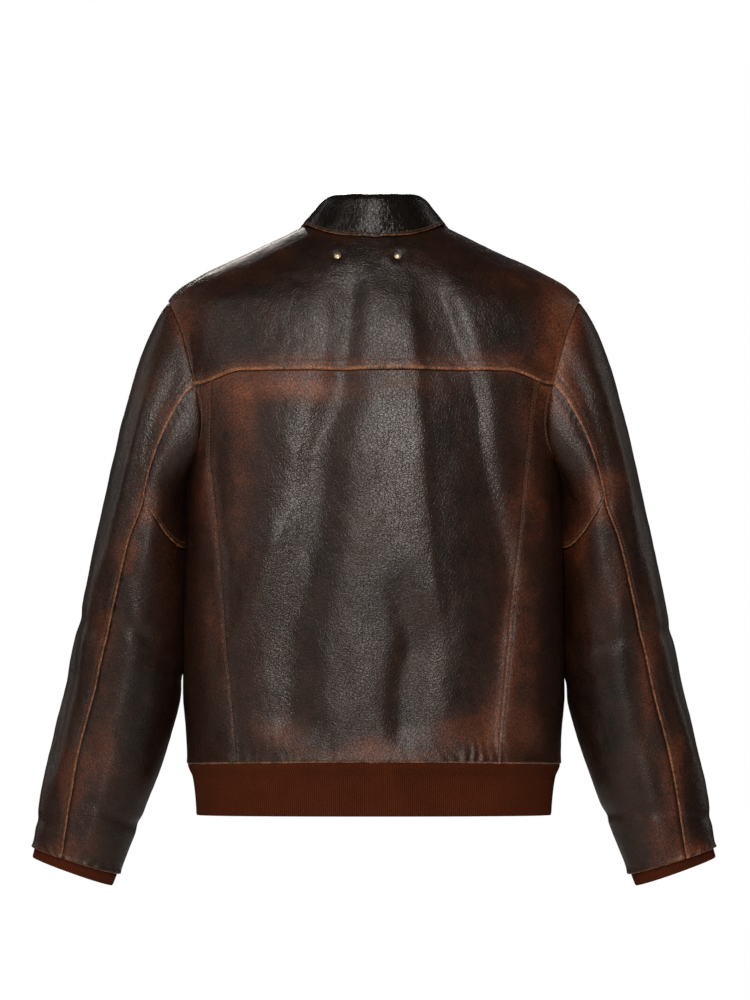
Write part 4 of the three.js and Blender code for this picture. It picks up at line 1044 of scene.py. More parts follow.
class WallMesh:
    """Makes a closed wall of cloth from an outer grid and a coarser inner one."""

    def __init__(self, outer: Array, inner: Array, wraps: bool = False, strides: Strides = EVEN_STRIDES) -> None:
        """Join the two faces by a rim.

        Args:
            outer: Rows and columns of points.
            inner: The same for every so many of them.
            wraps: Whether the columns run all the way round.
            strides: How many outer rows and columns there are for one inner one.
        """
        rows, columns = outer.shape[:2]
        inner_rows, inner_columns = inner.shape[:2]
        self.outer_count = rows * columns
        self.points = np.concatenate([outer.reshape(-1, 3), inner.reshape(-1, 3)])
        front = quads(rows, columns, wraps)
        back = quads(inner_rows, inner_columns, wraps)[:, ::-1] + self.outer_count
        rim: list[tuple[int, ...]] = []
        edges: set[tuple[int, int]] = set()
        for outer_loop, inner_loop, stride in self._borders(rows, columns, inner_rows, inner_columns, wraps, strides):
            self._rim(outer_loop, [k + self.outer_count for k in inner_loop], stride, rim, edges)
        self.faces = [*front.tolist(), *back.tolist(), *rim]
        self.inner_faces = (len(front), len(front) + len(back))
        self.sharp = edges
        a, b, c = (self.points[[f[k] for f in self.faces]] for k in range(3))
        if np.einsum("ij,ij->i", a, np.cross(b, c)).sum() < 0:
            self.faces = [tuple(reversed(f)) for f in self.faces]

    @staticmethod
    def _borders(rows: int, columns: int, inner_rows: int, inner_columns: int, wraps: bool, strides: Strides) -> list:
        """Pair up the borders of the two faces, as (outer places, inner places, stride)."""
        if wraps:
            top, inner_top = (rows - 1) * columns, (inner_rows - 1) * inner_columns
            return [
                ([*range(columns), 0], [*range(inner_columns), 0], strides[1]),
                (
                    [top + j % columns for j in range(columns, -1, -1)],
                    [inner_top + j % inner_columns for j in range(inner_columns, -1, -1)],
                    strides[1],
                ),
            ]
        outer, inner = loop_of(rows, columns), loop_of(inner_rows, inner_columns)
        outer, inner = [*outer, outer[0]], [*inner, inner[0]]
        spans, a, b = [], 0, 0
        for k in range(4):
            stride = strides[1] if k % 2 == 0 else strides[0]
            steps = (inner_columns if k % 2 == 0 else inner_rows) - 1
            spans.append((outer[a : a + steps * stride + 1], inner[b : b + steps + 1], stride))
            a, b = a + steps * stride, b + steps
        return spans

    @staticmethod
    def _rim(outer: list[int], inner: list[int], stride: int, rim: list, edges: set) -> None:
        """Fill the rim between two borders, and note the edges along them."""
        for k in range(len(inner) - 1):
            p, q = inner[k], inner[k + 1]
            o = outer[k * stride : (k + 1) * stride + 1]
            edges.add((min(p, q), max(p, q)))
            edges.update((min(a, b), max(a, b)) for a, b in zip(o, o[1:]))
            if stride == 1:
                rim.append((o[1], o[0], p, q))
                continue
            middle = stride // 2
            for n in range(stride):
                if n < middle:
                    rim.append((o[n + 1], o[n], p))
                elif n == middle:
                    rim.append((o[n + 1], o[n], p, q))
                else:
                    rim.append((o[n + 1], o[n], q))

    def build(self, name: str, attributes: dict[str, Array], uv: Array | None = None) -> bpy.types.Object:
        """Make the piece.

        Args:
            name: Its name.
            attributes: Values for each outer place, by name.
            uv: Flat places for each outer place, if a pattern follows the cloth.

        Returns:
            The object, at the origin.
        """
        mesh = bpy.data.meshes.new(name)
        mesh.from_pydata((self.points * MM).tolist(), [], self.faces)
        for key, values in attributes.items():
            whole = np.zeros(len(self.points), np.float32)
            whole[: self.outer_count] = values.reshape(-1)
            mesh.attributes.new(key, "FLOAT", "POINT").data.foreach_set("value", whole)
        if uv is not None:
            place = np.zeros((len(self.points), 2), np.float32)
            place[: self.outer_count] = uv.reshape(-1, 2)
            corner = np.empty(len(mesh.loops), np.int32)
            mesh.loops.foreach_get("vertex_index", corner)
            mesh.uv_layers.new(name="weave").data.foreach_set("uv", place[corner].reshape(-1))
        mesh.polygons.foreach_set("use_smooth", np.ones(len(mesh.polygons), bool))
        ends = np.empty(len(mesh.edges) * 2, np.int32)
        mesh.edges.foreach_get("vertices", ends)
        ends = np.sort(ends.reshape(-1, 2), axis=1)
        size = len(self.points)
        marked = np.array([a * size + b for a, b in self.sharp])
        sharp = np.isin(ends[:, 0].astype(np.int64) * size + ends[:, 1], marked)
        mesh.attributes.new("sharp_edge", "BOOLEAN", "EDGE").data.foreach_set("value", sharp)
        index = np.zeros(len(mesh.polygons), np.int32)
        index[self.inner_faces[0] : self.inner_faces[1]] = 1
        mesh.polygons.foreach_set("material_index", index)
        mesh.update()
        return link(name, mesh)


@dataclass
class StitchLine:
    """A line of topstitching: its places and the way out of the cloth there."""

    places: Array
    outward: Array


@dataclass
class Cut:
    """The flat size that a panel is cut to, in metres."""

    width: float
    length: float
    area: float | None = None


@dataclass
class Panel:
    """One panel of leather, laid on the form between its seams."""

    name: str
    surface: Surface
    edges: dict[str, Sewn]  # foot, head, start and end
    folds: Callable[[Grid], Array]
    cut: Cut
    wear: Callable[[Array], tuple[Array, Array]]
    pitch: float = 2.6
    across_breaks: Sequence[float] = ()
    up_breaks: Sequence[float] = ()
    calm: dict[str, float] = field(default_factory=dict)  # folds die out this far in from an edge
    gathers: dict[str, tuple[float, float, float]] = field(default_factory=dict)  # height, wave, reach
    outward: Callable[[Array], Array] | None = None
    slot: str = "jacket_leather"
    held: str = "hung"
    row_stride: int = INNER_STRIDE
    bumps: Callable[[Array], Array] | None = None
    stitch_lines: list[StitchLine] = field(default_factory=list)

    def build(self) -> bpy.types.Object:
        """Make the panel, and keep its lines of stitching.

        Returns:
            The finished piece.
        """
        grid = lay_grid(self.surface, self.pitch, self.across_breaks, self.up_breaks)
        if self.outward is not None:
            grid.normals = self.outward(grid.points)
        elif (grid.normals * (grid.points - grid.points.mean((0, 1)))).sum() < 0:
            grid.normals = -grid.normals
        drape = self.folds(grid)
        for side, reach in self.calm.items():
            drape = drape * smooth(0, reach, grid.inset[side])
        drape = drape + RIPPLE_HEIGHT * RIPPLES(grid.points) + self._gathers(grid)
        lift = drape + self._seams(grid) + WRINKLE_HEIGHT * WRINKLES(grid.points)
        if self.bumps is not None:
            lift = lift + self.bumps(grid.points)
        outer = grid.points + grid.normals * lift[..., None]
        coarse = (slice(None, None, self.row_stride), slice(None, None, INNER_STRIDE))
        inner = (grid.points + grid.normals * drape[..., None])[coarse] - grid.normals[coarse] * LEATHER
        self._stitch(grid, outer)
        wall = WallMesh(outer, inner, strides=(self.row_stride, INNER_STRIDE))
        piece = wall.build(self.name, self._attributes(grid, lift))
        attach(piece, "jacket")
        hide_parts(self.name)
        right, up = np.diff(grid.points, axis=1)[:-1], np.diff(grid.points, axis=0)[:, :-1]
        cells = np.linalg.norm(np.cross(right, up), axis=-1)
        log.info("%s: %d faces, %.4f square metres", self.name, len(wall.faces), cells.sum() * MM * MM)
        return piece

    def _sewn(self, grid: Grid) -> list[tuple[str, Edge, Array, Array]]:
        """List the stretches of the panel's edges, as (side, edge, distance in from it, share of it)."""
        found = []
        for side, stretches in self.edges.items():
            place = grid.s if side in ("foot", "head") else grid.v
            since = -1.0
            for edge, until in stretches:
                share = smooth(since - EDGE_BLEND, since + EDGE_BLEND, place)
                if until < 1:
                    share = share * (1 - smooth(until - EDGE_BLEND, until + EDGE_BLEND, place))
                found.append((side, edge, grid.inset[side], share))
                since = until
        return found

    def _seams(self, grid: Grid) -> Array:
        """Return how the sewn edges raise and sink the leather, with their small puckers."""
        high, low = np.zeros(grid.s.shape), np.zeros(grid.s.shape)
        for side, edge, inset, share in self._sewn(grid):
            rise = Curve(edge.value)(inset)
            if edge.stitched:
                wobble = np.sin(grid.run[side] * (2 * np.pi / PUCKER_WAVE) + 3 * JITTER(grid.points))
                rise = rise + PUCKER_HEIGHT * wobble * bell(inset - STITCHED_OUT, 4.0) * smooth(0.3, 2, inset)
            high, low = np.maximum(high, rise * share), np.minimum(low, rise * share)
        return high + low

    def _gathers(self, grid: Grid) -> Array:
        """Return the gathers and puckers that fan out from an edge."""
        total = np.zeros(grid.s.shape)
        for side, (height, wave, reach) in self.gathers.items():
            phase = grid.run[side] * (2 * np.pi / wave) + 5 * JITTER(grid.points * 0.6)
            strength = np.clip(0.55 + 0.6 * JITTER(grid.points * 0.35 + 90), 0, 1.4)
            total += height * strength * np.sin(phase) * bell(grid.inset[side], reach)
        return total

    def _stitch(self, grid: Grid, outer: Array) -> None:
        """Keep the lines that topstitching runs along."""
        normals = grid_normals(outer)
        normals = normals * np.sign((normals * grid.normals).sum(-1, keepdims=True))
        lines = {
            "foot": (STITCH_STEP, slice(None)),
            "head": (-1 - STITCH_STEP, slice(None)),
            "start": (slice(None), STITCH_STEP),
            "end": (slice(None), -1 - STITCH_STEP),
        }
        for side, edge, _, share in self._sewn(grid):
            if not edge.stitched:
                continue
            crossing = ("start", "end") if side in ("foot", "head") else ("foot", "head")
            where = lines[side]
            clear = np.minimum(grid.inset[crossing[0]][where], grid.inset[crossing[1]][where]) > STITCH_CLEAR
            clear &= share[where] > 0.5
            self.stitch_lines.append(StitchLine(outer[where][clear], normals[where][clear]))

    def _attributes(self, grid: Grid, lift: Array) -> dict[str, Array]:
        """Return how rusty and how worn through each place is, its painted shade beside the seams, and its gloss with
        painted highlight.
        """
        # The second value is the gloss, which also paints a paler highlight
        rust, gloss_and_painted_highlight = self.wear(grid.points)
        tan, painted_seam_shade = np.zeros(grid.s.shape), np.zeros(grid.s.shape)
        spread = 0.75 + 0.5 * JITTER(grid.points * 0.5)
        for _, edge, inset, share in self._sewn(grid):
            if edge is Edge.FREE:
                continue
            rust = rust + share * SEAM_RUST * spread * bell(inset, SEAM_RUST_REACH)
            for at, width, strength in edge.bared:
                tan = np.maximum(tan, share * strength * bell(inset - at, width))
            # Painted shade in the hollows at the seams' edges and in the stitch grooves
            for at, width, strength in edge.shaded:
                painted_seam_shade = np.maximum(painted_seam_shade, share * strength * bell(inset - at, width))
        return {
            "rust": np.clip(rust, 0, 1.2),
            "tan": np.clip(tan, 0, 1),
            "painted_seam_shade": np.clip(painted_seam_shade, 0, 1),
            "gloss_and_painted_highlight": np.clip(gloss_and_painted_highlight, 0, 1),
        }


# ---------------------------------------------------------------- finishes


class Nodes:
    """A short hand for laying out one material's nodes."""

    def __init__(self, name: str) -> None:
        """Start a material with only its shader."""
        self.material = bpy.data.materials.new(name)
        self.material.use_nodes = True
        self.tree = self.material.node_tree
        self.shader = self.tree.nodes["Principled BSDF"]
        self.place = self.tree.nodes.new("ShaderNodeTexCoord").outputs["Object"]

    def put(self, socket: Socket, value: object) -> None:
        """Link an output to a socket, or set the socket's own value, with a colour's alpha added."""
        if isinstance(value, Socket):
            self.tree.links.new(value, socket)
        else:
            socket.default_value = (*value, 1.0) if isinstance(value, tuple) else value

    def attribute(self, name: str) -> Socket:
        """Return a named value of the mesh."""
        node = self.tree.nodes.new("ShaderNodeAttribute")
        node.attribute_name = name
        return node.outputs["Fac"]

    def math(self, operation: str, a: object, b: object = 0.0) -> Socket:
        """Return what an operation makes of two values."""
        node = self.tree.nodes.new("ShaderNodeMath")
        node.operation = operation
        self.put(node.inputs[0], a)
        self.put(node.inputs[1], b)
        return node.outputs[0]

    def plus(self, a: object, b: object) -> Socket:
        """Return the sum of two values."""
        return self.math("ADD", a, b)

    def minus(self, a: object, b: object) -> Socket:
        """Return a value less another."""
        return self.math("SUBTRACT", a, b)

    def times(self, a: object, b: object) -> Socket:
        """Return the product of two values."""
        return self.math("MULTIPLY", a, b)

    def spread(self, value: object, low: float, high: float, to_low: float = 0.0, to_high: float = 1.0) -> Socket:
        """Return a value carried smoothly from one range to another."""
        node = self.tree.nodes.new("ShaderNodeMapRange")
        node.interpolation_type = "SMOOTHSTEP"
        for key, number in (("From Min", low), ("From Max", high), ("To Min", to_low), ("To Max", to_high)):
            node.inputs[key].default_value = number
        self.put(node.inputs["Value"], value)
        return node.outputs["Result"]

    def mix(self, share: object, a: object, b: object) -> Socket:
        """Return a colour between two."""
        node = self.tree.nodes.new("ShaderNodeMix")
        node.data_type = "RGBA"
        self.put(node.inputs["Factor"], share)
        self.put(node.inputs[6], a)
        self.put(node.inputs[7], b)
        return node.outputs[2]

    def noise(self, scale: float, detail: float = 3.0, rough: float = 0.55, place: object = None) -> Socket:
        """Return noise at a scale, in waves for each metre."""
        node = self.tree.nodes.new("ShaderNodeTexNoise")
        node.inputs["Scale"].default_value = scale
        node.inputs["Detail"].default_value = detail
        node.inputs["Roughness"].default_value = rough
        self.put(node.inputs["Vector"], place or self.place)
        return node.outputs["Fac"]

    def cells(self, scale: float, feature: str = "DISTANCE_TO_EDGE", place: object = None) -> Socket:
        """Return how far each place is from the edges between cells."""
        node = self.tree.nodes.new("ShaderNodeTexVoronoi")
        node.feature = feature
        node.inputs["Scale"].default_value = scale
        self.put(node.inputs["Vector"], place or self.place)
        return node.outputs["Distance"]

    def stretched(self, scale: tuple[float, float, float], place: object = None) -> Socket:
        """Return the places, scaled along each axis."""
        node = self.tree.nodes.new("ShaderNodeMapping")
        node.inputs["Scale"].default_value = scale
        self.put(node.inputs["Vector"], place or self.place)
        return node.outputs["Vector"]

    def warped(self, amount: float, scale: float) -> Socket:
        """Return the places, pushed about by noise."""
        noise = self.tree.nodes.new("ShaderNodeTexNoise")
        noise.inputs["Scale"].default_value = scale
        self.put(noise.inputs["Vector"], self.place)
        node = self.tree.nodes.new("ShaderNodeVectorMath")
        node.operation = "MULTIPLY_ADD"
        self.put(node.inputs[0], noise.outputs["Color"])
        node.inputs[1].default_value = (amount, amount, amount)
        self.put(node.inputs[2], self.place)
        return node.outputs["Vector"]

    def bump(self, height: object, distance: float, strength: float, normal: object = None) -> Socket:
        """Return a normal that follows a height."""
        node = self.tree.nodes.new("ShaderNodeBump")
        node.inputs["Distance"].default_value = distance
        node.inputs["Strength"].default_value = strength
        self.put(node.inputs["Height"], height)
        if normal is not None:
            self.put(node.inputs["Normal"], normal)
        return node.outputs["Normal"]

    def finish(self, colour: object, rough: object, normal: object = None, **constants: float) -> bpy.types.Material:
        """Join everything to the shader.

        Args:
            colour: Base colour.
            rough: Roughness.
            normal: The bumped normal, if there is one.
            constants: Values set on the shader's own sockets, by name with underscores.

        Returns:
            The material.
        """
        self.put(self.shader.inputs["Base Color"], colour)
        self.put(self.shader.inputs["Roughness"], rough)
        if normal is not None:
            self.put(self.shader.inputs["Normal"], normal)
        for key, value in constants.items():
            self.shader.inputs[key.replace("_", " ")].default_value = value
        return self.material


@dataclass(frozen=True)
class LeatherFinish:
    """Dark dyed leather, waxed and worn: rust-brown where the dye has gone, tan where it is worn bare, with painted
    highlight and painted seam shade.
    """

    name: str
    dark: Colour = (0.0080, 0.0043, 0.0028)
    # The deepest tone of the grain, also the colour of the painted shade beside the seams
    deep: Colour = (0.0028, 0.0016, 0.0011)
    brown: Colour = (0.0265, 0.0085, 0.0040)
    rust: Colour = (0.080, 0.0215, 0.0080)
    bright: Colour = (0.165, 0.0500, 0.0200)
    tan: Colour = (0.31, 0.130, 0.060)
    # The pale grey of the painted highlight on the glossy streaks
    painted_highlight: Colour = (0.036, 0.031, 0.028)
    rough: float = 0.43
    glossy: float = 0.28
    specular: float = 0.34
    crackle: float = 0.9
    clouds: float = 9.0  # scales of the patterns, in waves for each metre
    mottling: float = 48.0
    fine_grain: float = 420.0
    cracks: float = 240.0
    pebbled: float = 660.0
    bump: float = 0.00021  # height of the grain, in metres

    def build(self) -> bpy.types.Material:
        """Lay out the finish's nodes and return its material."""
        n = Nodes(self.name)
        rust, tan, painted_seam_shade, gloss_and_painted_highlight = (n.attribute(k) for k in ("rust", "tan", "painted_seam_shade", "gloss_and_painted_highlight"))
        cloud = n.noise(self.clouds, 5, 0.6)
        mottle = n.noise(self.mottling, 5, 0.62)
        fine = n.noise(self.fine_grain, 4, 0.62)
        pebbles = n.spread(n.cells(self.cracks, place=n.warped(0.005, 110)), 0.0, 0.16)
        # The dye has gone in clouds, and first on the high grain
        worn = n.plus(rust, n.times(n.minus(cloud, 0.45), 0.9))
        worn = n.plus(worn, n.times(n.minus(mottle, 0.5), 0.85))
        worn = n.plus(worn, n.times(n.minus(fine, 0.5), 0.5))
        gloss_and_painted_highlight = n.times(gloss_and_painted_highlight, n.spread(worn, 0.3, 0.85, 1.0, 0.1))
        base = n.mix(n.spread(fine, 0.3, 0.7), self.deep, self.dark)
        # Painted highlight: the glossy streaks are painted a paler grey
        base = n.mix(n.times(gloss_and_painted_highlight, n.spread(fine, 0.25, 0.7, 0.3, 1.0)), base, self.painted_highlight)
        colour = n.mix(n.spread(worn, -0.25, 0.36, 0.0, 0.92), base, self.brown)
        colour = n.mix(n.spread(worn, 0.32, 0.95, 0.0, 0.95), colour, self.rust)
        colour = n.mix(n.spread(worn, 0.85, 1.45), colour, self.bright)
        bare = n.times(tan, n.spread(n.noise(75, 4, 0.65), 0.30, 0.62, 0.25, 1.0))
        colour = n.mix(bare, colour, self.tan)
        colour = n.mix(n.times(n.minus(1.0, pebbles), 0.6), colour, self.deep)
        # Painted shade in the hollows at the seams' edges and in the stitch grooves
        colour = n.mix(n.times(painted_seam_shade, 0.85), colour, self.deep)
        dull = n.minus(n.times(fine, 0.3), n.times(n.math("MINIMUM", gloss_and_painted_highlight, 1.0), 0.9))
        dull = n.plus(dull, n.times(n.minus(1.0, pebbles), 0.3))
        roughness = n.spread(n.plus(dull, n.times(worn, 0.45)), -0.75, 0.9, self.glossy, self.rough)
        # Grain in fine pebbles, with a crackle of short lines over it
        grain = n.cells(self.pebbled, "SMOOTH_F1", n.warped(0.0013, 320))
        height = n.plus(n.times(grain, -1.4), n.times(n.noise(1500, 2, 0.6), 0.25))
        height = n.plus(height, n.times(pebbles, self.crackle * 0.6))
        normal = n.bump(height, self.bump, 0.9)
        return n.finish(colour, roughness, normal, IOR=1.5, Specular_IOR_Level=self.specular)


@dataclass(frozen=True)
class SuedeFinish:
    """The plain flesh side of the leather, seen inside the garment."""

    name: str = "leather_flesh_side"
    dark: Colour = (0.045, 0.030, 0.022)
    light: Colour = (0.095, 0.064, 0.046)

    def build(self) -> bpy.types.Material:
        """Lay out the finish's nodes and return its material."""
        n = Nodes(self.name)
        nap = n.noise(900, 4, 0.7)
        colour = n.mix(n.times(n.plus(n.noise(30, 4), nap), 0.5), self.dark, self.light)
        return n.finish(colour, 0.92, n.bump(nap, 0.0004, 0.5), Specular_IOR_Level=0.2)


@dataclass(frozen=True)
class RibFinish:
    """Faded red-brown wool rib, with painted shade in the troughs between the ribs. The ribs are in the mesh, and the
    stitches of each rib are here.
    """

    name: str
    # The deepest tone darkens the fuzz and paints shade into the troughs between the ribs
    deep: Colour = (0.017, 0.0038, 0.0012)
    wool: Colour = (0.069, 0.0136, 0.0032)
    faded: Colour = (0.096, 0.0195, 0.0052)
    loops: float = 560.0  # stitches in a metre of rib

    def build(self) -> bpy.types.Material:
        """Lay out the finish's nodes and return its material."""
        n = Nodes(self.name)
        crest = n.attribute("crest")
        fade = n.spread(n.noise(16, 4, 0.6), 0.3, 0.72)
        fuzz = n.noise(1400, 3, 0.7)
        colour = n.mix(fade, self.wool, self.faded)
        # Painted shade in the troughs between the ribs
        colour = n.mix(n.times(n.minus(1.0, crest), 0.85), colour, self.deep)
        colour = n.mix(n.spread(fuzz, 0.35, 0.75, 0.0, 0.35), colour, self.deep)
        separate = n.tree.nodes.new("ShaderNodeSeparateXYZ")
        uv = n.tree.nodes.new("ShaderNodeUVMap")
        uv.uv_map = "weave"
        n.put(separate.inputs[0], uv.outputs["UV"])
        loop = n.math("SINE", n.times(separate.outputs["Y"], 2 * math.pi * self.loops))
        height = n.plus(n.times(loop, 0.35), fuzz)
        return n.finish(colour, 0.94, n.bump(height, 0.0003, 0.6), Specular_IOR_Level=0.1)


@dataclass(frozen=True)
class BrassFinish:
    """Old nickelled brass, dull and scratched."""

    name: str = "aged_brass"
    bright: Colour = (0.92, 0.80, 0.60)
    dull: Colour = (0.55, 0.42, 0.26)

    def build(self) -> bpy.types.Material:
        """Lay out the finish's nodes and return its material."""
        n = Nodes(self.name)
        tarnish = n.spread(n.noise(420, 5, 0.65), 0.38, 0.66)
        scratches = n.noise(600, 3, 0.6, n.stretched((1.0, 1.0, 9.0)))
        colour = n.mix(tarnish, self.bright, self.dull)
        roughness = n.spread(n.plus(tarnish, n.times(scratches, 0.4)), 0.0, 1.4, 0.34, 0.56)
        return n.finish(colour, roughness, n.bump(scratches, 0.0001, 0.35), Metallic=1.0)


@dataclass(frozen=True)
class TapeFinish:
    """The zip's close-woven dark tape."""

    name: str = "zip_tape"
    dark: Colour = (0.010, 0.008, 0.007)
    light: Colour = (0.030, 0.024, 0.020)
    weft: float = 1300.0  # threads in a metre across
    warp: float = 900.0  # and up

    def build(self) -> bpy.types.Material:
        """Lay out the finish's nodes and return its material."""
        n = Nodes(self.name)
        separate = n.tree.nodes.new("ShaderNodeSeparateXYZ")
        n.put(separate.inputs[0], n.place)
        across = n.math("SINE", n.times(separate.outputs["X"], 2 * math.pi * self.weft))
        along = n.math("SINE", n.times(separate.outputs["Z"], 2 * math.pi * self.warp))
        weave = n.times(across, along)
        colour = n.mix(n.spread(weave, -1.0, 1.0), self.dark, self.light)
        return n.finish(colour, 0.85, n.bump(weave, 0.0002, 0.5), Specular_IOR_Level=0.25)


@dataclass(frozen=True)
class ThreadFinish:
    """Waxed brown thread."""

    name: str = "waxed_thread"
    dark: Colour = (0.020, 0.011, 0.008)
    light: Colour = (0.105, 0.050, 0.028)

    def build(self) -> bpy.types.Material:
        """Lay out the finish's nodes and return its material."""
        n = Nodes(self.name)
        twist = n.noise(2400, 2, 0.5)
        faded = n.spread(n.noise(45, 4, 0.6), 0.35, 0.7)
        colour = n.mix(n.times(n.plus(faded, twist), 0.5), self.dark, self.light)
        return n.finish(colour, 0.6, n.bump(twist, 0.0001, 0.4))


@dataclass
class Finishes:
    """Every finish of the garment, built once."""

    def __post_init__(self) -> None:
        """Build the materials."""
        self.leather = LeatherFinish("jacket_leather").build()
        self.collar = LeatherFinish(
            "collar_leather", dark=(0.0045, 0.0036, 0.0032), deep=(0.002, 0.0016, 0.0014),
            brown=(0.007, 0.0048, 0.0038), rust=(0.014, 0.0075, 0.0050), bright=(0.04, 0.018, 0.010),
            # The collar's painted highlight is a faint grey
            painted_highlight=(0.010, 0.009, 0.0085), rough=0.26, glossy=0.18, crackle=1.0, specular=0.2,
        ).build()
        self.suede = SuedeFinish().build()
        self.hem_rib = RibFinish("rib_knit").build()
        self.brass = BrassFinish().build()
        self.tape = TapeFinish().build()
        self.thread = ThreadFinish().build()

    def dress(self, piece: bpy.types.Object, *materials: bpy.types.Material) -> None:
        """Give a piece its materials, outer face first."""
        piece.data.materials.clear()
        for material in materials:
            piece.data.materials.append(material)


# ---------------------------------------------------------------- the body's panels


class Seamline:
    """A seam drawn once, to be read off quickly."""

    def __init__(self, draw: Callable[[Array], Array], breaks: Sequence[float] = ()) -> None:
        """Draw many points of the seam, by a share from 0 to 1, with some at its corners."""
        self.at = np.unique(np.concatenate([np.linspace(0, 1, 601), np.array(breaks, float)]))
        self.points = draw(self.at)

    def __call__(self, t: Array) -> Array:
        """Return points of the seam."""
        return read_at(t, self.at, self.points)


def body_patch(body: BodyForm, foot: Seamline, head: Seamline, start: Seamline, end: Seamline) -> Surface:
    """Return the patch of the body between four seams, by a share across and a share up."""
    corners = [foot(0.0), foot(1.0), head(0.0), head(1.0)]

    def surface(s: Array, v: Array) -> Array:
        """Return points of the patch."""
        a, b = s[..., None], v[..., None]
        p = foot(s) * (1 - b) + head(s) * b + start(v) * (1 - a) + end(v) * a
        p = p - corners[0] * (1 - a) * (1 - b) - corners[1] * a * (1 - b)
        return body.onto(p - corners[2] * (1 - a) * b - corners[3] * a * b)

    return surface


def garment_rust_and_highlight(p: Array) -> tuple[Array, Array]:
    """Return how rusty the leather is at points, and its gloss with painted highlight."""
    return patches(p, BACK_RUST, FRONT_RUST), patches(p, BACK_GLOSS_AND_HIGHLIGHT, FRONT_GLOSS_AND_HIGHLIGHT)


@dataclass
class BodyPanels:
    """The yoke, the three panels of the back and the two fronts."""

    body: BodyForm
    finishes: Finishes
    middle_columns: int = 12
    side_columns: int = 5
    back_centre_cut: Cut = field(default_factory=lambda: Cut(0.375, 0.445, 0.148))
    back_side_cut: Cut = field(default_factory=lambda: Cut(0.13, 0.435, 0.042))
    yoke_cut: Cut = field(default_factory=lambda: Cut(0.53, 0.21, 0.082))
    front_cut: Cut = field(default_factory=lambda: Cut(0.33, 0.60, 0.140))

    def build(self) -> list[Panel]:
        """Make all six panels.

        Returns:
            The panels, with their lines of stitching.
        """
        panels = [self._yoke(), self._back_centre()]
        for side in Side:
            panels += [self._back_side(side), self._front(side)]
        for panel in panels:
            self.finishes.dress(panel.build(), self.finishes.leather, self.finishes.suede)
        return panels

    def _panel(self, name: str, surface: Callable, edges: dict[str, Sewn], cut: Cut, **more: object) -> Panel:
        """Set up a panel of the body."""
        return Panel(
            name, surface, edges, lambda grid: body_folds(grid.points), cut, garment_rust_and_highlight,
            outward=lambda p: self.body.outward(p)[0], **more,
        )

    def _foot(self, start: Seamline, end: Seamline) -> Seamline:
        """Draw the hem seam between the feet of two seams."""
        return Seamline(lambda s: self.body.hem_seam(start(0.0), end(0.0), s))

    def _yoke_line(self, start: Seamline, end: Seamline) -> Seamline:
        """Draw the yoke seam between the tops of two seams."""
        return Seamline(lambda s: self.body.yoke_seam(start(1.0)[0], end(1.0)[0], s))

    def _outer_seam(self, side: Side, split: float, top: float) -> Seamline:
        """Draw a panel's outer seam: the side seam and, above it, the armhole.

        Args:
            side: Which side of the body.
            split: Share of the way up where the armhole starts.
            top: Degrees round the armhole where the panel ends.

        Returns:
            The seam.
        """

        def outer(v: Array) -> Array:
            """Return points of the seam."""
            turn = mixed(180.0, top, np.clip((v - split) / (1 - split), 0, 1))
            below = self.body.side_seam(side, np.minimum(1.0, v / split))
            return np.where((v < split)[..., None], below, self.body.armhole(side, turn))

        return Seamline(outer, [split])

    def _back_centre(self) -> Panel:
        """Set up the back's middle panel, which laps over its sides."""
        body = self.body
        start, end = (Seamline(lambda v: body.back_seam(side, v), [body.back_break]) for side in Side)
        foot, head = self._foot(start, end), self._yoke_line(start, end)
        edges = sewn(foot=Edge.TURNED, head=Edge.UNDER, start=Edge.LAPPED, end=Edge.LAPPED)
        return self._panel(
            "back_centre", body_patch(body, foot, head, start, end), edges, self.back_centre_cut,
            pitch=2.3, calm={"foot": 30.0}, bumps=self._seam_puckers,
            gathers={"foot": (0.55, 15.0, 15.0), "start": (0.35, 7.0, 9.0), "end": (0.25, 8.0, 7.0)},
        )

    @staticmethod
    def _seam_puckers(p: Array) -> Array:
        """Return the strong short puckers beside the lower part of the left back seam."""
        z = p[..., 2]
        offset = Curve(((-594, 153), (-361, 172), (-215, 183)))(z) - p[..., 0]
        where = smooth(-580, -500, z) * (1 - smooth(-400, -330, z)) * bell(offset, 12.0)
        return 0.85 * where * np.sin(z * (2 * np.pi / 6.5) + offset * 0.25 + 2.5 * JITTER(p))

    def _back_side(self, side: Side) -> Panel:
        """Set up a side panel of the back, between the long seam and the armhole."""
        body, split = self.body, self.body.back_break
        start = Seamline(lambda v: body.back_seam(side, v), [split])
        end = self._outer_seam(side, split, 90.0)
        foot, head = self._foot(start, end), self._yoke_line(start, end)
        edges = sewn(
            foot=Edge.TURNED, head=Edge.UNDER, start=Edge.UNDER, end=((Edge.BUTTED, split), (Edge.LAPPED, 1.0))
        )
        return self._panel(
            f"back_side_{side.word}", body_patch(body, foot, head, start, end), edges, self.back_side_cut,
            up_breaks=[split], calm={"foot": 30.0}, gathers={"foot": (0.5, 14.0, 13.0), "start": (0.3, 9.0, 7.0)},
        )

    def _yoke(self) -> Panel:
        """Set up the yoke, from one armhole over the back to the other."""
        body = self.body
        columns = self.middle_columns + 2 * self.side_columns
        share = self.side_columns / columns
        seam = [body.yoke_end[0], body.back_seam(Side.LEFT, np.array(1.0))[0]]
        seam += [body.back_seam(Side.RIGHT, np.array(1.0))[0], -body.yoke_end[0]]
        shares = [0.0, share, 1 - share, 1.0]

        def lower(s: Array) -> Array:
            """Return points of the yoke seam."""
            x = np.interp(s, shares, seam)
            return body.on_back(x, body.yoke_z(x))

        def upper(s: Array) -> Array:
            """Return points of a shoulder seam, the neckline and the other shoulder seam."""
            left = body.shoulder_seam(Side.LEFT, np.clip(1 - s / share, 0, 1))
            right = body.shoulder_seam(Side.RIGHT, np.clip((s - 1 + share) / share, 0, 1))
            neck = body.neckline(180 * np.clip((s - share) / (1 - 2 * share), 0, 1))
            return np.where((s < share)[..., None], left, np.where((s > 1 - share)[..., None], right, neck))

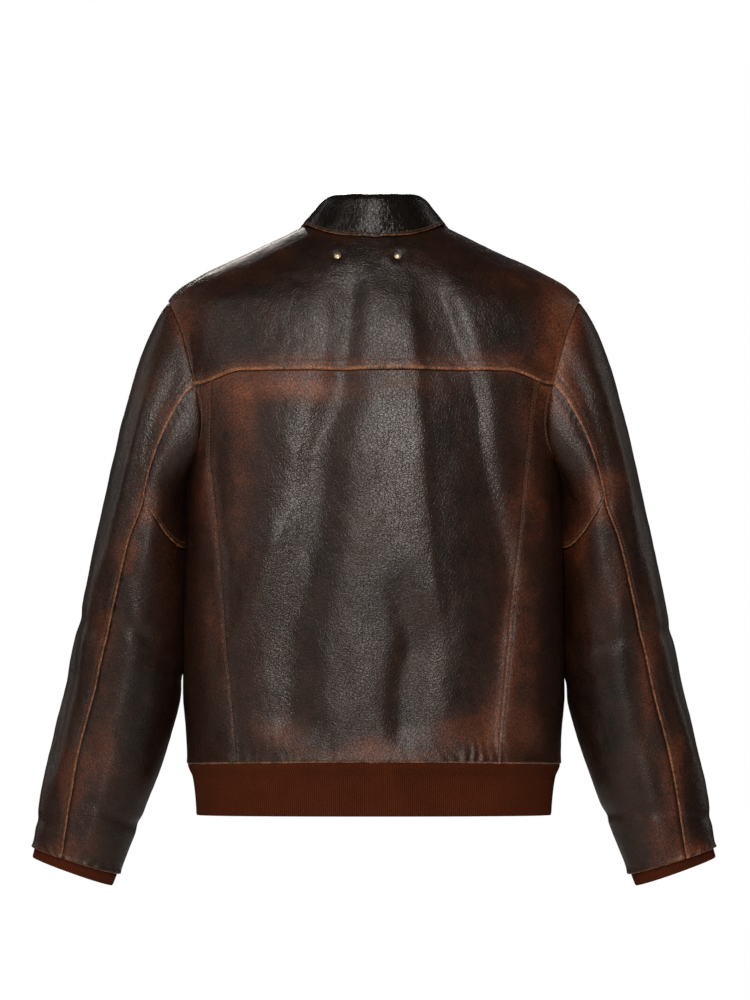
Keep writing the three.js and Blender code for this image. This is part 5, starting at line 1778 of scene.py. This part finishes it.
        foot, head = Seamline(lower, shares[1:3]), Seamline(upper, shares[1:3])
        start = Seamline(lambda v: body.armhole(Side.LEFT, mixed(90.0, 0.0, v)))
        end = Seamline(lambda v: body.armhole(Side.RIGHT, mixed(90.0, 0.0, v)))
        edges = sewn(
            foot=Edge.LAPPED, start=Edge.LAPPED, end=Edge.LAPPED,
            head=((Edge.LAPPED, share), (Edge.UNDER, 1 - share), (Edge.LAPPED, 1.0)),
        )
        return self._panel(
            "back_yoke", body_patch(body, foot, head, start, end), edges, self.yoke_cut, held="draped",
            pitch=2.5, across_breaks=shares[1:3], bumps=self._stud_dimples,
            gathers={"foot": (0.22, 12.0, 8.0), "start": (0.25, 10.0, 8.0), "end": (0.25, 10.0, 8.0)},
        )

    @staticmethod
    def _stud_dimples(p: Array) -> Array:
        """Return how the leather is drawn in round the two studs."""
        total = np.zeros(p.shape[:-1])
        for x in STUD_X:
            apart = np.hypot(p[..., 0] - x, (p[..., 2] - STUD_Z) * 1.1)
            total += -1.5 * bell(apart, 5.5) + 0.5 * bell(apart - 11, 4.5)
        return total * (p[..., 1] > 0)

    def _front(self, side: Side) -> Panel:
        """Set up a front, from the zip to the side seam."""
        body = self.body
        below, corner = body.front_break, body.neck_break

        def inner(v: Array) -> Array:
            """Return points beside the zip and, above them, of the neckline."""
            low = mixed(body.hem_seam_z + body.hem_lift, body.underarm_z, v / below)
            high = mixed(body.underarm_z, body.neck_front_z, (v - below) / (corner - below))
            z = np.where(v < below, low, np.minimum(high, body.neck_front_z))
            zip_edge = body.on_front(side.value * body.opening_half_width, z)
            turn = mixed(-86.0, 0.0, np.clip((v - corner) / (1 - corner), 0, 1))
            neck = body.neckline(turn) * np.array([side.value, 1, 1])
            return np.where((v < corner)[..., None], zip_edge, neck)

        start, end = Seamline(inner, [below, corner]), self._outer_seam(side, below, 360.0)
        foot, head = self._foot(start, end), Seamline(lambda s: body.shoulder_seam(side, s))
        edges = sewn(
            foot=Edge.TURNED, head=Edge.UNDER,
            start=((Edge.FOLDED, corner), (Edge.UNDER, 1.0)), end=((Edge.BUTTED, below), (Edge.LAPPED, 1.0)),
        )
        return self._panel(
            f"front_{side.word}", body_patch(body, foot, head, start, end), edges, self.front_cut,
            pitch=2.9, up_breaks=[below, corner], calm={"foot": 30.0, "start": 24.0},
            gathers={"foot": (0.6, 15.0, 15.0), "start": (0.2, 12.0, 7.0)},
        )


@dataclass
class SleevePanels:
    """The three panels of each sleeve: the top, the gusset under the arm and the under sleeve."""

    form: SleeveForm
    finishes: Finishes
    cap_share: float = 0.3
    top_cut: Cut = field(default_factory=lambda: Cut(0.26, 0.63, 0.108))
    upper_cut: Cut = field(default_factory=lambda: Cut(0.20, 0.16, 0.018))
    lower_cut: Cut = field(default_factory=lambda: Cut(0.20, 0.46, 0.070))

    def build(self) -> list[Panel]:
        """Make both sleeves.

        Returns:
            The panels, with their lines of stitching.
        """
        panels = [make(side) for side in Side for make in (self._top, self._upper, self._lower)]
        for panel in panels:
            self.finishes.dress(panel.build(), self.finishes.leather, self.finishes.suede)
        return panels

    def _station(self, v: Array) -> Array:
        """Return the station at a share up the top sleeve, from the cuff to the armhole."""
        split = 1 - self.cap_share
        low = mixed(self.form.end, 1.0, v / split)
        return np.where(v < split, low, np.maximum(0.0, (1 - v) / self.cap_share))

    def _panel(self, name: str, side: Side, way: Callable, edges: dict[str, Sewn], cut: Cut, **more: object) -> Panel:
        """Set up a panel of a sleeve, from the degrees and station that each share gives."""
        return Panel(
            f"{name}_{side.word}",
            lambda s, v: self.form.place(side, *way(s, v)),
            edges,
            lambda grid: sleeve_folds(side, *way(grid.s, grid.v)),
            cut,
            garment_rust_and_highlight,
            **more,
        )

    def _top(self, side: Side) -> Panel:
        """Set up the top sleeve, which laps over the others at the back seam."""

        def way(s: Array, v: Array) -> tuple[Array, Array]:
            """Return degrees and stations."""
            station = self._station(v)
            return self.form.top_degrees(s, station), station

        edges = sewn(foot=Edge.TURNED, head=Edge.UNDER, start=Edge.BUTTED, end=Edge.LAPPED)
        return self._panel(
            "sleeve_top", side, way, edges, self.top_cut, up_breaks=[1 - self.cap_share],
            calm={"foot": 26.0, "head": 20.0},
            gathers={"foot": (0.7, 13.0, 12.0), "head": (0.35, 11.0, 12.0), "end": (0.3, 10.0, 9.0)},
        )

    def _upper(self, side: Side) -> Panel:
        """Set up the gusset under the arm, which laps over the under sleeve."""

        def way(s: Array, v: Array) -> tuple[Array, Array]:
            """Return degrees and stations."""
            station = (1 - v) * self.form.gusset_station(s)
            return self.form.under_degrees(s, station), station

        edges = sewn(foot=Edge.LAPPED, head=Edge.UNDER, start=Edge.UNDER, end=Edge.BUTTED)
        return self._panel(
            "sleeve_under_upper", side, way, edges, self.upper_cut, calm={"head": 16.0},
            gathers={"foot": (0.25, 9.0, 8.0), "start": (0.25, 9.0, 8.0)},
        )

    def _lower(self, side: Side) -> Panel:
        """Set up the under sleeve, from the gusset to the cuff."""

        def way(s: Array, v: Array) -> tuple[Array, Array]:
            """Return degrees and stations."""
            station = mixed(self.form.end, self.form.gusset_station(s), v)
            return self.form.under_degrees(s, station), station

        edges = sewn(foot=Edge.TURNED, head=Edge.UNDER, start=Edge.UNDER, end=Edge.BUTTED)
        return self._panel(
            "sleeve_under_lower", side, way, edges, self.lower_cut, calm={"foot": 26.0},
            gathers={"foot": (0.7, 13.0, 12.0), "start": (0.25, 10.0, 8.0)},
        )


# ---------------------------------------------------------------- rib knit


@dataclass
class RibKnit:
    """The rib band of the hem and the two rib cuffs, with every rib in the mesh."""

    body: BodyForm
    sleeves: SleeveForm
    finishes: Finishes
    rib_wave: float = 2.4
    rib_depth: float = 0.42
    places_in_a_rib: int = 4
    hem_rows: int = 24
    cuff_rows: int = 15
    cuff_half_width: float = 50.0
    cuff_half_depth: float = 38.5
    turned: float = 2.4  # the foot is folded in over this height
    hem_cut: Cut = field(default_factory=lambda: Cut(1.08, 0.056))
    cuff_cut: Cut = field(default_factory=lambda: Cut(0.28, 0.033))

    def build(self) -> None:
        """Make the band and the cuffs."""
        self._hem()
        for side in Side:
            self._cuff(side)

    def _knit(self, name: str, outer: Array, normals: Array, ribs: int, foot: Array, wraps: bool) -> None:
        """Make one piece of rib.

        Args:
            name: Its node.
            outer: Its face on the form, from the seam down.
            normals: The way out of it.
            ribs: How many ribs it has.
            foot: How far each row is above the fold at its foot.
            wraps: Whether it is a ring.
        """
        columns = outer.shape[1]
        turn = np.arange(columns) / self.places_in_a_rib * 2 * np.pi
        crest = np.broadcast_to(0.5 - 0.5 * np.cos(turn), outer.shape[:2])
        fold = 1 - smooth(0, self.turned, foot)
        lift = self.rib_depth * (crest - 0.6) + 0.25 * RIPPLES(outer * 1.3) - 0.75 * fold[:, None] ** 2
        face = outer + normals * lift[..., None]
        strides = (3, self.places_in_a_rib)
        coarse = (slice(None, None, strides[0]), slice(None, None, strides[1]))
        depth = RIB - 0.6 * fold[:: strides[0]] ** 2
        inner = outer[coarse] - normals[coarse] * depth[:, None, None]
        run = np.arange(columns) * self.rib_wave / self.places_in_a_rib * MM
        uv = np.stack(np.meshgrid(run, foot * MM), axis=-1)
        piece = WallMesh(face, inner, wraps, strides).build(name, {"crest": crest}, uv)
        self.finishes.dress(piece, self.finishes.hem_rib, self.finishes.hem_rib)
        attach(piece, "jacket")
        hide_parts(name)
        log.info("%s: %d ribs", name, ribs)

    def _hem(self) -> None:
        """Make the band round the hem, open where the zip runs through it."""
        body = self.body
        start = -90 + math.degrees(math.atan(body.opening_half_width / body.front_depth(body.hem_z)))
        share = np.linspace(0, 1, 2001)
        radius = body.half_width(body.hem_z) / 2

        def ring(turn: Array, level: Array) -> Array:
            """Return points round the band at a level."""
            p = body.onto(vec(radius * np.cos(turn), radius * np.sin(turn), level))
            rise = body.hem_height(body.hem_seam_z, p[..., 0]) - body.hem_seam_z
            share = np.clip((level - body.hem_z) / (body.hem_seam_z - body.hem_z), 0, 1)
            return body.onto(vec(p[..., 0], p[..., 1], level + rise * share))

        turns = np.radians(mixed(start, 180 - start, share))
        loop = ring(turns, np.full(turns.shape, body.hem_seam_z))
        length = run_along(loop)
        ribs = round(length[-1] / self.rib_wave)
        even = np.interp(np.linspace(0, length[-1], ribs * self.places_in_a_rib + 1), length, turns)
        height = body.hem_seam_z - SEAM_GAP - body.hem_z
        down = np.concatenate([np.linspace(0, 0.95, self.hem_rows - 2), [0.97, 0.985, 1.0]])
        levels = body.hem_seam_z - SEAM_GAP - down * height
        turn_grid, level_grid = np.meshgrid(even, levels)
        outer = ring(turn_grid, level_grid)
        self._knit("hem_rib", outer, body.outward(outer)[0], ribs, (1 - down) * height, False)

    def _cuff(self, side: Side) -> None:
        """Make one cuff, set inside the sleeve's end."""
        form = self.sleeves
        down = np.concatenate([np.linspace(0, 0.93, self.cuff_rows - 1), [0.965, 1.0]])
        stations = mixed(form.cuff_start, form.cuff_end, down)
        length = math.pi * (self.cuff_half_width + self.cuff_half_depth)
        ribs = round(length / self.rib_wave)
        degrees = np.arange(ribs * self.places_in_a_rib) * 360 / (ribs * self.places_in_a_rib)
        grid = form.place(side, *np.meshgrid(degrees, stations))
        normals = grid_normals(grid, wraps=True)
        if (normals * (grid - grid.mean((0, 1)))).sum() < 0:
            normals = -normals
        outer = grid - normals * (LEATHER + form.cuff_clear)
        height = np.linalg.norm(outer[-1, 0] - outer[0, 0])
        self._knit(f"cuff_rib_{side.word}", outer, normals, ribs, (1 - down) * height, True)


# ---------------------------------------------------------------- the collar


@dataclass
class Collar:
    """The collar's stand and its folded leaf, in blacker and glossier leather."""

    form: CollarForm
    finishes: Finishes
    turns: int = 481
    slices: int = 161
    stand_cut: Cut = field(default_factory=lambda: Cut(0.40, 0.040, 0.012))
    leaf_cut: Cut = field(default_factory=lambda: Cut(0.54, 0.075, 0.031))

    def build(self) -> list[Panel]:
        """Make the stand and the leaf.

        Returns:
            The panels, with their lines of stitching.
        """
        panels = [self._stand(), self._leaf()]
        for panel in panels:
            self.finishes.dress(panel.build(), self.finishes.collar, self.finishes.collar)
        return panels

    def _degrees(self, s: Array) -> Array:
        """Return degrees round the neck, from the left front end over the back to the right."""
        return mixed(-self.form.end, 180 + self.form.end, s)

    def _wear(self, p: Array) -> tuple[Array, Array]:
        """Return the collar's rust, which is none, and its gloss with painted highlight in random patches on its upper
        part.
        """
        patchy_highlight = 0.5 + 0.5 * JITTER(p * 0.8)
        return np.zeros(p.shape[:-1]), np.clip(patchy_highlight * smooth(4, 30, p[..., 2]), 0, 1)

    def _stand(self) -> Panel:
        """Set up the stand, from the neckline up to the leaf's seam."""
        form, body = self.form, self.form.body

        def surface(s: Array, v: Array) -> Array:
            """Return points of the stand."""
            turn = self._degrees(s)
            seam = body.neckline(turn)
            foot = mixed(seam, form.roll(turn), form.stand_lift) + body.outward(seam)[0] * SEAM_GAP
            return mixed(foot, form.beside_roll(turn, 0, -form.seam_drop - SEAM_GAP), v[..., None])

        edges = sewn(foot=Edge.FREE, head=Edge.FREE, start=Edge.FREE, end=Edge.FREE)
        return Panel(
            "collar_stand", surface, edges, lambda grid: np.zeros(grid.s.shape), self.stand_cut, self._wear,
            pitch=3.0, slot="collar_leather", held="stretched",
        )

    def _leaf(self) -> Panel:
        """Set up the leaf, from its outer edge up over the fold and down to the stand."""
        turn = self._degrees(np.linspace(0, 1, self.turns))
        under = np.stack(self.form.underside(turn)[::-1])
        way = grid_normals(under)
        if (way * (under - under.mean((0, 1)) + np.array([0, 0, -4.0]))).sum() < 0:
            way = -way
        table = self._spline(under + way * LEATHER)

        def surface(s: Array, v: Array) -> Array:
            """Return points of the leaf's outer face."""
            row, column = v * (self.slices - 1), s * (self.turns - 1)
            i = np.clip(row.astype(int), 0, self.slices - 2)
            j = np.clip(column.astype(int), 0, self.turns - 2)
            a, b = (row - i)[..., None], (column - j)[..., None]
            low = mixed(table[i, j], table[i, j + 1], b)
            return mixed(low, mixed(table[i + 1, j], table[i + 1, j + 1], b), a)

        edges = sewn(foot=Edge.FOLDED, head=Edge.FREE, start=Edge.FOLDED, end=Edge.FOLDED)
        return Panel(
            "collar_leaf", surface, edges, lambda grid: np.zeros(grid.s.shape), self.leaf_cut, self._wear,
            pitch=2.0, slot="collar_leather", held="folded", row_stride=1,
            gathers={"foot": (0.35, 16.0, 12.0)},
        )

    def _spline(self, lines: Array) -> Array:
        """Draw a smooth surface through lines.

        Args:
            lines: Points of each line, line by line.

        Returns:
            A finer table of points, evenly spread from the first line to the last.
        """
        gaps = np.linalg.norm(np.diff(lines, axis=0), axis=-1).mean(1)
        knots = np.concatenate([[0], np.cumsum(gaps)])
        even = np.linspace(0, knots[-1], self.slices)
        i = np.clip(np.searchsorted(knots, even, side="right") - 1, 0, len(knots) - 2)
        slope = np.gradient(lines, knots, axis=0)
        width = (knots[i + 1] - knots[i])[:, None, None]
        t = (even - knots[i])[:, None, None] / width
        return hermite(t, lines[i], width * slope[i], lines[i + 1], width * slope[i + 1])


# ---------------------------------------------------------------- small hard pieces


class Template:
    """A small piece modelled once at the origin, in millimetres, to be copied many times."""

    def __init__(self, model: bpy.types.Object) -> None:
        """Keep a modelled object's shape and remove the object."""
        mesh = model.data
        self.points = np.array([v.co[:] for v in mesh.vertices])
        self.faces = [tuple(p.vertices) for p in mesh.polygons]
        bpy.data.objects.remove(model)
        bpy.data.meshes.remove(mesh)

    def scatter(self, name: str, places: Array, x: Array, y: Array, z: Array) -> bpy.types.Object:
        """Copy the shape to many places, joined in one mesh.

        Args:
            name: The new piece's name.
            places: Where each copy's origin goes.
            x: Where the shape's X points for each copy.
            y: Where its Y points.
            z: Where its Z points.

        Returns:
            The joined piece.
        """
        frames = np.stack([x, y, z], axis=1)
        points = places[:, None, :] + np.einsum("vk,nkc->nvc", self.points, frames)
        count = len(self.points)
        faces = [tuple(i + n * count for i in face) for n in range(len(places)) for face in self.faces]
        mesh = bpy.data.meshes.new(name)
        mesh.from_pydata((points.reshape(-1, 3) * MM).tolist(), [], faces)
        mesh.polygons.foreach_set("use_smooth", np.ones(len(mesh.polygons), bool))
        mesh.update()
        return link(name, mesh)


def deselect() -> None:
    """Leave nothing selected."""
    for item in bpy.context.selected_objects:
        item.select_set(False)


def draw_out(model: bpy.types.Object, chosen: Callable, move: Sequence[float], grow: Sequence[float]) -> None:
    """Extrude a model's chosen faces, with any edges that are still selected.

    Args:
        model: The active object.
        chosen: Tells whether a face is drawn out.
        move: How far.
        grow: How much larger what was drawn out becomes along each axis.
    """
    for face in model.data.polygons:
        face.select = chosen(face)
    bpy.ops.object.mode_set(mode="EDIT")
    bpy.ops.mesh.select_mode(type="FACE")
    bpy.ops.mesh.extrude_region_move(TRANSFORM_OT_translate={"value": move})
    bpy.ops.transform.resize(value=grow)
    bpy.ops.object.mode_set(mode="OBJECT")


@dataclass
class Topstitching:
    """Every visible line of stitching on the leather."""

    finishes: Finishes
    pitch: float = 3.6
    length: float = 3.0
    radius: float = 0.42
    sunk: float = 0.12

    def build(self, lines: Sequence[StitchLine]) -> None:
        """Lay stitches along lines.

        Args:
            lines: The lines to follow.
        """
        places, along, out = [], [], []
        for line in lines:
            if len(line.places) < 3:
                continue
            run, half = run_along(line.places), self.length / 2
            middle = np.arange(self.pitch / 2, run[-1], self.pitch)
            ahead = read_at(middle + half, run, line.places) - read_at(middle - half, run, line.places)
            places.append(read_at(middle, run, line.places))
            along.append(unit(ahead))
            out.append(unit(read_at(middle, run, line.outward)))
        where, x, up = (np.concatenate(v) for v in (places, along, out))
        y = unit(np.cross(up, x))
        z = np.cross(x, y)
        piece = self._one_stitch().scatter("topstitching", where + z * (self.radius * 0.55 - self.sunk), x, y, z)
        self.finishes.dress(piece, self.finishes.thread)
        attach(piece, "jacket")
        log.info("topstitching: %d stitches", len(where))

    def _one_stitch(self) -> Template:
        """Model one stitch along X, fat in its middle and pinched at its ends."""
        deselect()
        bpy.ops.mesh.primitive_cylinder_add(
            vertices=6, radius=self.radius, depth=self.length * 0.6, end_fill_type="NGON", rotation=(0, math.pi / 2, 0)
        )
        stitch = bpy.context.object
        bpy.ops.object.transform_apply(location=True, rotation=True, scale=True)
        for end in (-1, 1):
            bpy.ops.object.mode_set(mode="EDIT")
            bpy.ops.mesh.select_all(action="DESELECT")
            bpy.ops.object.mode_set(mode="OBJECT")
            move = (end * self.length * 0.2, 0, -self.radius * 0.5)
            draw_out(stitch, lambda face: face.normal.x * end > 0.9, move, (1, 0.45, 0.45))
        return Template(stitch)


@dataclass
class ZipFront:
    """The zip: two tapes, two rows of teeth, and the slider, pull tab and stop as they are in the frame."""

    body: BodyForm
    finishes: Finishes
    chain_half: float = 3.0
    tape_face: float = 2.3
    tape_wall: float = 0.8
    tape_top: float = -78.0
    teeth_top: float = -95.0
    teeth_bottom: float = -638.5
    tooth_pitch: float = 2.6
    tooth_depth: float = 1.5  # of a tooth's middle below the leather's face
    rows: int = 240
    cut: Cut = field(default_factory=lambda: Cut(0.0117, 0.576))

    def build(self) -> None:
        """Make the tapes and the teeth, and finish the metal."""
        for side in Side:
            self._tape(side)
        self._teeth()
        for name in ("zip_slider", "zip_pull", "zip_stop"):
            self._polish(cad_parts[name])

    def _tape(self, side: Side) -> None:
        """Make one tape as a woven strip with a corded inner edge."""
        body = self.body
        low = body.hem_z + body.hem_lift
        across = np.concatenate([[0, 0.3, 0.8, 1.4, 2.0, 3.2], np.linspace(4.4, 11.7, 4)])
        x = side.value * (self.chain_half + SEAM_GAP + across)
        z = np.linspace(low, self.tape_top, self.rows + 1)
        grid = body.on_front(*np.meshgrid(x, z))
        normals = body.outward(grid)[0]
        cord = 0.45 * bell(across - 0.8, 0.7)
        waves = 0.12 * np.sin(z / 2.9)[:, None] * bell(across - 7, 3)
        lift = cord[None, :] + waves + 0.1 * RIPPLES(grid)
        outer = grid + normals * (lift - self.tape_face)[..., None]
        inner = (grid - normals * (self.tape_face + self.tape_wall))[::3, ::3]
        name = f"zip_tape_{side.word}"
        piece = WallMesh(outer, inner).build(name, {"crest": cord + 0 * lift})
        self.finishes.dress(piece, self.finishes.tape, self.finishes.tape)
        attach(piece, "jacket")
        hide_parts(name)

    def _one_tooth(self) -> Template:
        """Model one tooth, pointing along -X from its foot on the tape: a block drawn out twice, with all its edges."""
        deselect()
        bpy.ops.mesh.primitive_cube_add(size=1, location=(1.9, 0, 0))
        tooth = bpy.context.object
        tooth.scale = (2.2, 2.2, 1.5)
        bpy.ops.object.transform_apply(location=True, rotation=True, scale=True)
        for step, grow in ((-0.7, 1.22), (-0.9, 0.62)):
            draw_out(tooth, lambda face: face.normal.x < -0.9, (step, 0, 0), (1, 1, grow))
        return Template(tooth)

    def _teeth(self) -> None:
        """Make both rows of teeth, each set halfway between the other's."""
        body = self.body
        z = np.arange(self.teeth_bottom, self.teeth_top, self.tooth_pitch / 2)
        side = np.where(np.arange(len(z)) % 2 == 0, 1.0, -1.0)
        middle = body.on_front(np.zeros(len(z)), z)
        out = body.outward(middle)[0]
        across = np.zeros_like(out)
        across[:, 0] = side
        up = unit(np.cross(across, out))
        up = up * np.sign(up[:, 2:3])
        piece = self._one_tooth().scatter("zip_teeth", middle - out * self.tooth_depth, across, out, up)
        self._outwards(piece)
        self.finishes.dress(piece, self.finishes.brass)
        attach(piece, "jacket")
        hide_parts("zip_chain")
        log.info("zip_teeth: %d teeth", len(z))

    @staticmethod
    def _outwards(piece: bpy.types.Object) -> None:
        """Turn all the faces of a piece outwards."""
        deselect()
        piece.select_set(True)
        bpy.context.view_layer.objects.active = piece
        bpy.ops.object.mode_set(mode="EDIT")
        bpy.ops.mesh.select_all(action="SELECT")
        bpy.ops.mesh.normals_make_consistent(inside=False)
        bpy.ops.object.mode_set(mode="OBJECT")

    def _polish(self, node: bpy.types.Object) -> None:
        """Round the edges of a metal node a little and give it its finish."""
        self.finishes.dress(node, self.finishes.brass)
        weld = node.modifiers.new("Weld", "WELD")
        weld.merge_threshold = 0.01 * MM
        bevel = node.modifiers.new("Bevel", "BEVEL")
        bevel.width = 0.22 * MM
        bevel.segments = 2
        bevel.limit_method = "ANGLE"
        bevel.angle_limit = math.radians(35)
        bevel.harden_normals = True


@dataclass
class Studs:
    """Two plain round domes on the yoke, each with a flat rim pressed into the leather."""

    body: BodyForm
    finishes: Finishes
    radius: float = 3.8
    rim: float = 0.5
    height: float = 2.2
    flat: float = 0.9  # shares of the radius where the flat rim ends
    foot: float = 0.82  # and where the dome springs from
    rings: Sequence[float] = (0, 8, 22, 38, 54, 70, 82)  # degrees up the dome

    def build(self) -> None:
        """Make both studs."""
        for side, x in zip(Side, STUD_X):
            seat = self.body.on_back(x, STUD_Z)
            way = self.body.outward(seat)[0]
            self._stud(f"stud_{side.word}", Vector(seat + way * SEAM_GAP) * MM, Vector(way))

    def _stud(self, name: str, seat: Vector, way: Vector) -> None:
        """Model one stud: a disc drawn up ring by ring, with all its edges, into a dome."""
        deselect()
        rim = self.rim * MM
        bpy.ops.mesh.primitive_cylinder_add(vertices=40, radius=self.radius * MM, depth=rim, location=(0, 0, rim / 2))
        stud = bpy.context.object
        bpy.ops.object.transform_apply(location=True, rotation=True, scale=True)
        rise = (self.height - self.rim) * MM
        previous = (1.0, 0.0)
        for degrees in self.rings:
            turn = math.radians(degrees)
            size = (self.flat if degrees == 0 else self.foot * math.cos(turn)), math.sin(turn) * rise
            grow = size[0] / previous[0]
            top = lambda face: face.normal.z > 0.9 and len(face.vertices) > 4
            draw_out(stud, top, (0, 0, size[1] - previous[1]), (grow, grow, 1))
            previous = size
        bpy.ops.object.shade_smooth_by_angle(angle=math.radians(50))
        turned = Vector((0, 0, 1)).rotation_difference(way).to_matrix().to_4x4()
        stud.data.transform(Matrix.Translation(seat) @ turned)
        stud.name = name + "_dome"
        self.finishes.dress(stud, self.finishes.brass)
        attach(stud, "jacket")
        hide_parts(name)


# ---------------------------------------------------------------- the studio


@dataclass(frozen=True)
class Softbox:
    """A large soft light, slightly warm, that faces the middle of the garment."""

    name: str
    azimuth: float  # degrees round from the front, towards the wearer's left
    elevation: float
    distance: float
    width: float
    height: float
    power: float
    colour: Colour = (1.0, 0.93, 0.87)


@dataclass
class Studio:
    """A pale floor, soft lights and the camera."""

    target: tuple[float, float, float] = (-0.0011, 0.0, -0.3036)
    camera_distance: float = 20.0
    seen_height: float = 1.1
    sensor: float = 36.0
    floor_z: float = -1.5
    floor_radius: float = 4.5
    world_light: float = 0.035
    softboxes: Sequence[Softbox] = (
        Softbox("key_behind", 178, 21, 4.0, 0.36, 3.0, 146),
        Softbox("left_behind", 126, 18, 3.8, 0.3, 2.6, 25),
        Softbox("right_behind", 230, 18, 3.8, 0.3, 2.6, 3),
        Softbox("key_front", 4, 18, 4.0, 0.8, 3.0, 80),
        Softbox("left_front", 58, 18, 3.8, 0.35, 2.6, 12),
        Softbox("right_front", 302, 18, 3.8, 0.35, 2.6, 12),
    )

    def build(self) -> None:
        """Set the camera, the lights, the floor and the world."""
        self._camera()
        for box in self.softboxes:
            self._light(box)
        self._floor()
        self._world()
        bpy.context.scene.view_settings.view_transform = "Standard"

    def _camera(self) -> None:
        """Place the camera level behind the garment, with a long lens."""
        data = bpy.data.cameras.new("camera")
        data.sensor_width = self.sensor
        data.lens = self.sensor * self.camera_distance / self.seen_height
        data.clip_end = 100.0
        camera = link("camera", data)
        x, y, z = self.target
        camera.location = (x, y + self.camera_distance, z)
        camera.rotation_euler = (math.pi / 2, 0, math.pi)
        bpy.context.scene.camera = camera

    def _light(self, box: Softbox) -> None:
        """Hang one soft light."""
        data = bpy.data.lights.new(box.name, "AREA")
        data.shape = "RECTANGLE"
        data.size, data.size_y = box.width, box.height
        data.energy = box.power
        data.color = box.colour
        light = link(box.name, data)
        turn, lift = math.radians(box.azimuth), math.radians(box.elevation)
        way = Vector((math.sin(turn) * math.cos(lift), -math.cos(turn) * math.cos(lift), math.sin(lift)))
        light.location = Vector(self.target) + way * box.distance
        light.rotation_euler = (-way).to_track_quat("-Z", "Y").to_euler()

    def _floor(self) -> None:
        """Lay a pale round floor, below what the camera sees."""
        deselect()
        bpy.ops.mesh.primitive_circle_add(
            vertices=96, radius=self.floor_radius, fill_type="NGON", location=(0, 0, self.floor_z)
        )
        floor = bpy.context.object
        floor.name = "floor"
        n = Nodes("pale_floor")
        tone = n.mix(n.noise(3, 3), (0.72, 0.72, 0.71), (0.78, 0.78, 0.77))
        floor.data.materials.append(n.finish(tone, 0.8))

    def _world(self) -> None:
        """Surround the studio with white, dimmer as a light than as a backdrop."""
        world = bpy.data.worlds.new("studio")
        world.use_nodes = True
        tree = world.node_tree
        light = tree.nodes["Background"]
        light.inputs["Color"].default_value = (1, 1, 1, 1)
        light.inputs["Strength"].default_value = self.world_light
        backdrop = tree.nodes.new("ShaderNodeBackground")
        backdrop.inputs["Color"].default_value = (1, 1, 1, 1)
        mixed_light = tree.nodes.new("ShaderNodeMixShader")
        path = tree.nodes.new("ShaderNodeLightPath")
        tree.links.new(path.outputs["Is Camera Ray"], mixed_light.inputs["Fac"])
        tree.links.new(light.outputs[0], mixed_light.inputs[1])
        tree.links.new(backdrop.outputs[0], mixed_light.inputs[2])
        tree.links.new(mixed_light.outputs[0], tree.nodes["World Output"].inputs["Surface"])
        bpy.context.scene.world = world


def main() -> None:
    """Build the garment's looks, piece by piece, and the studio round it."""
    logging.basicConfig(level=logging.INFO, format="%(message)s", stream=sys.stdout)
    deselect()
    body = BodyForm()
    sleeves = SleeveForm(body)
    finishes = Finishes()
    Studio().build()
    panels = BodyPanels(body, finishes).build()
    panels += SleevePanels(sleeves, finishes).build()
    panels += Collar(CollarForm(body), finishes).build()
    RibKnit(body, sleeves, finishes).build()
    Topstitching(finishes).build([line for panel in panels for line in panel.stitch_lines])
    ZipFront(body, finishes).build()
    Studs(body, finishes).build()


if __name__ == "__main__":
    main()
